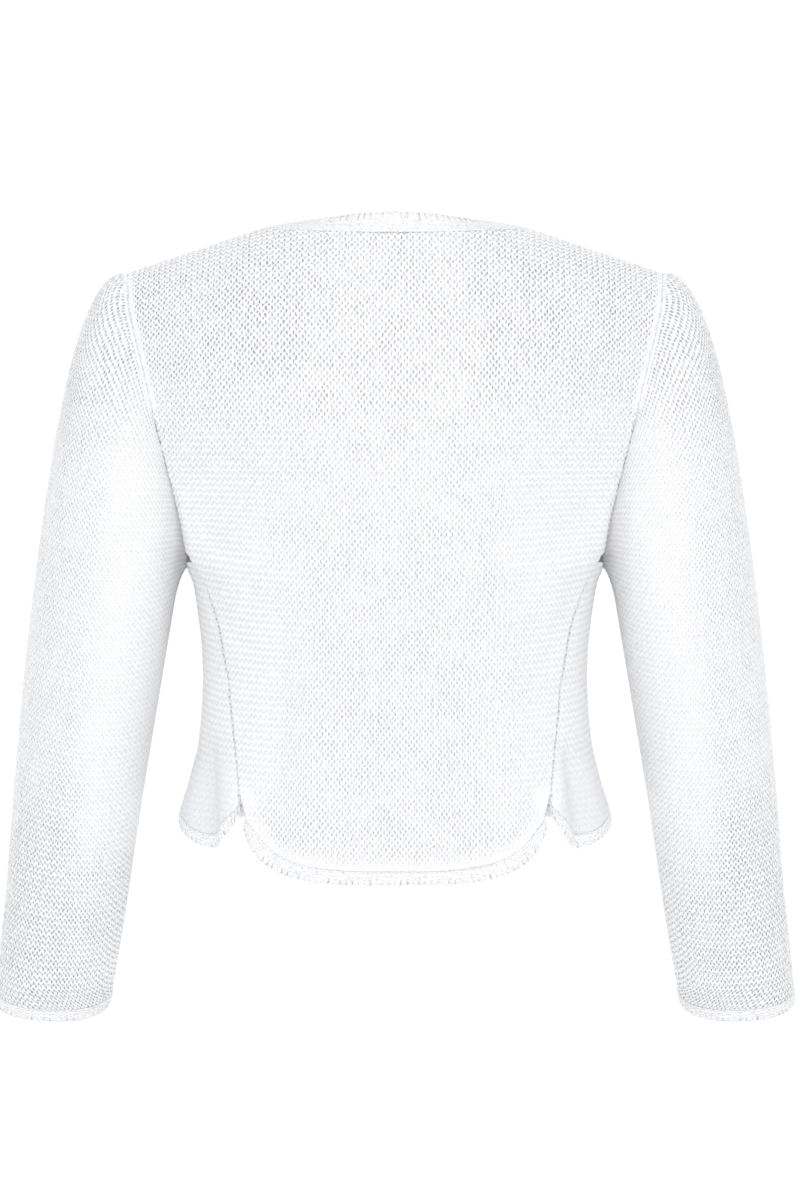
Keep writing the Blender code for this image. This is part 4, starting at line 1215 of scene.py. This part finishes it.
    # yarn: two legs to a stitch, and the fibres' fuzz
    legs = n.math("ABSOLUTE", n.math("SINE", n.math("MULTIPLY", n.math(
        "ADD", n.math("MULTIPLY", ua, 2.0), n.math("MULTIPLY", n.wave("SINE", va), 0.32)), math.pi)))
    fuzz, cloud = n.noise(1500.0, 3.0), n.noise(26.0)
    white = n.mix(cloud, (0.882, 0.882, 0.887), (0.902, 0.902, 0.905))
    # painted light: the sleeves' colour is lifted towards white
    painted_sleeve_light = n.math("MULTIPLY", n.step(n.math("ABSOLUTE", x), 0.158, 0.175), n.step(z, -0.10, -0.20))
    white = n.mix(n.math("MULTIPLY", painted_sleeve_light, 0.5), white, (0.935, 0.935, 0.938))
    white = n.mix(loose_and_painted_light, white, (0.945, 0.945, 0.948))
    # painted shade: the hollows and troughs between rows, the narrow openings and the eyelets are darkened in colour
    white = n.mix(n.math("MULTIPLY", hollow, 0.17), white, (0.50, 0.505, 0.55))
    white = n.mix(n.math("MULTIPLY", painted_trough_shade, 0.085), white, (0.40, 0.40, 0.45))
    white = n.mix(n.math("MULTIPLY", streak, 0.28), white, (0.42, 0.42, 0.48))
    white = n.mix(n.math("MULTIPLY", hole, 0.40), white, (0.22, 0.22, 0.28))
    # painted shade: the hem tabs at the back's sides are darkened, as where they turn away from the light
    painted_petal_shade = n.math("MULTIPLY", n.step(n.math("ABSOLUTE", x), 0.108, 0.125), n.step(n.math("ABSOLUTE", x), 0.176, 0.166))
    painted_petal_shade = n.math("MULTIPLY", n.math("MULTIPLY", painted_petal_shade, n.step(z, -0.35, -0.40)), n.step(y, -0.030, 0.005))
    # painted shade: fine dark speckles over the closed-up knit
    white = n.mix(n.math("MULTIPLY", n.math("MULTIPLY", shut, n.noise(330.0, 1.0)), 0.10), white, (0.40, 0.40, 0.46))
    white = n.mix(n.math("MULTIPLY", painted_petal_shade, 0.55), white, (0.68, 0.68, 0.715))
    white = n.mix(n.math("MULTIPLY", dots, 0.65), white, (0.28, 0.28, 0.35))
    height = n.math("MULTIPLY_ADD", legs, 0.26, n.math("MULTIPLY", fuzz, 0.12))
    height = n.math("MULTIPLY_ADD", hole, -0.8, height)
    height = n.math("MULTIPLY_ADD", hollow, -0.25, height)
    height = n.math("MULTIPLY_ADD", streak, -0.35, height)
    height = n.math("MULTIPLY_ADD", dots, -0.6, height)
    return n.finish(white, height, 0.0009)


def band_material(name, rows_by, pins_by, gaps_by):
    """Crochet of the edgings, with painted shade in its grooves and openings; the cuffs' last rows are looser and their
    stitches more open, so their painted shade is stronger.
    """
    n = Nodes(name, 0.88, 0.2, 0.15)
    u, v = n.uv("Knit")
    ua = n.math("MULTIPLY_ADD", n.math("SUBTRACT", n.noise(260.0, 1.0), 0.5), 0.8, u)
    va = n.math("MULTIPLY_ADD", n.math("SUBTRACT", n.noise(240.0, 1.0, (3.1, 7.7, 1.3)), 0.5), 0.35, v)
    each = n.cell_noise(u, v)
    outer = n.math("SUBTRACT", 1.0, n.step(v, 1.5, 1.6))
    valley = n.math("MULTIPLY", n.wave("COSINE", ua), -1.0)
    free = n.math("MULTIPLY", n.step(va, 0.62, 0.80), n.math("SUBTRACT", 1.0, n.step(v, 0.97, 1.02)))
    gap = n.math("MULTIPLY", n.math("MULTIPLY", n.step(valley, 0.45, 0.95), free),
                 n.step(each, 0.25, 0.9))
    # rows of small slanting stitches run along the band
    rows = n.wave("COSINE", n.math("MULTIPLY_ADD", n.wave("COSINE", ua), 0.05, va), 4.0, math.pi)
    line = n.math("MULTIPLY", n.step(rows, 0.2, 1.0), outer)
    pin = n.math("MULTIPLY", n.math("MULTIPLY", n.step(rows, 0.5, 1.0), n.step(valley, 0.3, 1.0)), outer)
    twist = n.math("ABSOLUTE", n.math("SINE", n.math("MULTIPLY", n.math(
        "ADD", n.math("MULTIPLY", ua, 2.0), n.math("MULTIPLY", va, 3.0)), math.pi)))
    fuzz, cloud = n.noise(1500.0, 3.0), n.noise(26.0)
    specks = n.math("MULTIPLY", n.step(n.noise(420.0, 1.0, (2.0, 6.0, 9.0)), 0.56, 0.74), outer)
    white = n.mix(cloud, (0.848, 0.848, 0.853), (0.876, 0.876, 0.880))
    # painted shade: faces turned upwards are darkened
    white = n.mix(n.math("MULTIPLY", n.step(n.facing_up(), 0.25, 0.95), 0.30), white, (0.60, 0.60, 0.615))
    # painted shade: the grooves between the rows and the pinholes between stitches are darkened
    white = n.mix(n.math("MULTIPLY", line, rows_by), white, (0.50, 0.50, 0.57))
    white = n.mix(n.math("MULTIPLY", pin, n.math("MULTIPLY", each, pins_by)), white, (0.40, 0.40, 0.48))
    white = n.mix(n.math("MULTIPLY", specks, 0.15), white, (0.42, 0.42, 0.49))
    # painted shade: the gaps between loops at the free edge are darkened
    white = n.mix(n.math("MULTIPLY", gap, gaps_by), white, (0.26, 0.26, 0.33))
    height = n.math("MULTIPLY_ADD", twist, 0.2, n.math("MULTIPLY", fuzz, 0.12))
    height = n.math("MULTIPLY_ADD", gap, -0.5, height)
    height = n.math("MULTIPLY_ADD", line, -0.25, height)
    height = n.math("MULTIPLY_ADD", specks, -0.35, height)
    return n.finish(white, height, 0.0009)


KNIT = knit_material()
CROCHET = band_material("crochet_cotton", 0.10, 0.30, 0.5)
CUFF = band_material("cuff_crochet_cotton", 0.22, 0.75, 0.62)

# ---------------------------------------------------------------- the panels
cuts = {
    "back": cut_panel(BACK, BACK_U, BACK_V, half=True),
    "side": cut_panel(SIDE, SIDE_U, SIDE_V),
    "front": cut_panel(FRONT, FRONT_U, FRONT_V),
    "sleeve": cut_panel(SLEEVES, SLEEVE_U, SLEEVE_V, SLEEVE_STITCH, tube=True),
}
cloth_piece("knit_back_centre", cuts["back"], "back", "trunk", "back_centre", KNIT)
for hand in ("left", "right"):
    m = hand == "right"
    cloth_piece("knit_side_back_" + hand, cuts["side"], "side", "trunk",
                              "side_back_" + hand, KNIT, mirror=m)
    cloth_piece("knit_front_" + hand, cuts["front"], "front", "trunk",
                              "front_" + hand, KNIT, mirror=m)
    cloth_piece("knit_sleeve_" + hand, cuts["sleeve"], "sleeve", "sleeve_" + hand,
                              "sleeve_" + hand, KNIT, mirror=m)

# ---------------------------------------------------------------- the bands
bands = {}


def whole(half_row):
    """The back's half row from the centre, and its twin, as one run."""
    return np.concatenate([half_row[::-1] * (-1, 1, 1), half_row[1:]])


bands["knit_back_centre"] = [band("band_hem_back", [whole(back_near), whole(back_far)], "trunk",
                                  "hem_edging_back", CROCHET)]

# neck band, on the same few rows as its solid, drawn as a smooth curve
neck_cols = [NECK_S * math.sin(0.5 * math.pi * k / 5) for k in range(6)]
some_f = [neck_f * math.sin(0.5 * math.pi * k / 5) for k in range(5)] + [neck_f]
neck_run = [(-1, FRONT_PART / float(armhole_x(-1, -90.0)))]
neck_run += [(-1, float(front_s(f))) for f in some_f]
neck_run += [(1, c) for c in reversed(neck_cols[:-1])]
neck_run += [(side, -c) for side, c in reversed(neck_run[:-1])]
line = [upper(side, c, neck_theta(side, c)) for side, c in neck_run]
rows3 = [[], [], []]
for i, (side, c) in enumerate(neck_run):
    run = line[min(i + 1, len(line) - 1)] - line[max(i - 1, 0)]
    theta = neck_theta(side, c)
    up_way = upper(side, c, theta) - upper(side, c, theta + 0.01)
    out_way = upper(side, c + 0.004, theta) - upper(side, c - 0.004, theta)
    away = unit(np.cross(np.cross(up_way, out_way), run))
    if away.dot((-line[i][0], -line[i][1], 40.0)) < 0:
        away = -away
    upright = unit(away + np.array((0.0, 0.0, 0.3 * max(0.0, 1 - (c / NECK_S) ** 2))))
    foot = line[i] + away * (0.1 + 0.4 * (c / NECK_S) ** 8
                             + (0.1 + 0.6 * (c / NECK_S) ** 6 if side < 0 else 0.1 * abs(c / NECK_S)))
    inward = unit(np.array((-foot[0], -foot[1], 0.0)))
    for turn_in in np.linspace(0.0, 1.0, 41):
        low_way = unit(away * (1 - turn_in) + inward * turn_in)
        top_way = unit(upright * (1 - turn_in) + inward * turn_in)
        middle = foot + low_way * (0.45 * NECK_BAND)
        high = middle + top_way * (0.55 * NECK_BAND - GAP)
        if high[2] <= ARCH_TOP - ARCH_FALL * abs(high[0] / ARCH_X) ** 1.35:
            break
    for r, point in zip(rows3, (foot, middle, high)):
        r.append(point)
evenly = np.linspace(0, 1, 420)
bands["knit_back_centre"].append(band("band_neck", [spline(r, evenly) for r in rows3], "trunk",
                                      "neck_edging", CROCHET, pitch=4.6, picot=0.8, groove=0.22,
                                      outward=np.array((0.0, -10.0, -60.0))))

centre_in = FRONT[:-2, 0] - (GAP, 0.0, 0.0)
centre_out = centre_edge(FRONT_PART, FRONT[:-2, 0, 2])
hem_phi = np.linspace(0, 2 * math.pi, 241)[:-1]
ring = sleeve_ring(SLEEVE["z"][-1], hem_phi)
way = np.array(CUFF_WAY)
for hand in ("left", "right"):
    m = hand == "right"
    bands["knit_side_back_" + hand] = [band("band_hem_side_" + hand, [side_near, side_far], "trunk",
                                            "hem_edging_side_" + hand, CROCHET, mirror=m)]
    bands["knit_front_" + hand] = [band("band_front_" + hand,
                                        [np.concatenate([centre_in, front_near]),
                                         np.concatenate([centre_out, front_far])], "trunk",
                                        "front_edging_" + hand, CROCHET, mirror=m)]
    bands["knit_sleeve_" + hand] = [band("band_cuff_" + hand, [ring + 1.5 * GAP * way, ring + TRIM * way],
                                         "sleeve_" + hand, "cuff_edging_" + hand, CUFF, closed=True,
                                         mirror=m, outward=np.array((249.0, -60.0, -550.0)))]

# ---------------------------------------------------------------- floor, light and camera
floor_mat = bpy.data.materials.new("pale_floor")
floor_mat.use_nodes = True
shader = floor_mat.node_tree.nodes["Principled BSDF"]
shader.inputs["Base Color"].default_value = (0.975, 0.975, 0.98, 1.0)
shader.inputs["Roughness"].default_value = 0.9
shader.inputs["Specular IOR Level"].default_value = 0.0
floor_z = -1.400      # a standing wearer's floor
mesh = bpy.data.meshes.new("studio_floor")
mesh.from_pydata([(-60, -60, floor_z), (60, -60, floor_z), (60, 60, floor_z), (-60, 60, floor_z)], [], [(0, 1, 2, 3)])
mesh.materials.append(floor_mat)
floor = bpy.data.objects.new("studio_floor", mesh)
bpy.context.scene.collection.objects.link(floor)

world = bpy.data.worlds.new("studio_world")
world.use_nodes = True
world.node_tree.nodes["Background"].inputs["Color"].default_value = (0.985, 0.993, 1.0, 1.0)
world.node_tree.nodes["Background"].inputs["Strength"].default_value = 1.06
bpy.context.scene.world = world


def soft_light(name, place, aim, size, watts):
    data = bpy.data.lights.new(name, "AREA")
    data.shape = "DISK"
    data.size = size
    data.energy = watts
    data.color = (1.0, 0.985, 0.955)
    lamp = bpy.data.objects.new(name, data)
    lamp.location = place
    lamp.rotation_euler = (Vector(aim) - Vector(place)).to_track_quat("-Z", "Y").to_euler()
    bpy.context.scene.collection.objects.link(lamp)


soft_light("key", (1.4, 3.0, 1.3), (0, 0, -0.25), 1.6, 17)
soft_light("fill", (-1.8, 2.6, 0.6), (0, 0, -0.3), 1.6, 12)
soft_light("front_key", (-1.2, -3.0, 1.2), (0, 0, -0.25), 1.6, 12)

cam_data = bpy.data.cameras.new("photo_camera")
cam_data.lens = 150
cam_data.sensor_width = 36
cam_data.sensor_fit = "AUTO"
camera = bpy.data.objects.new("photo_camera", cam_data)
camera.location = (-0.0036, 3.6, -0.265)
camera.rotation_euler = (0.5 * math.pi, 0.0, math.pi)
bpy.context.scene.collection.objects.link(camera)
bpy.context.scene.camera = camera
bpy.context.scene.view_settings.view_transform = "Standard"
bpy.context.scene.view_settings.look = "None"
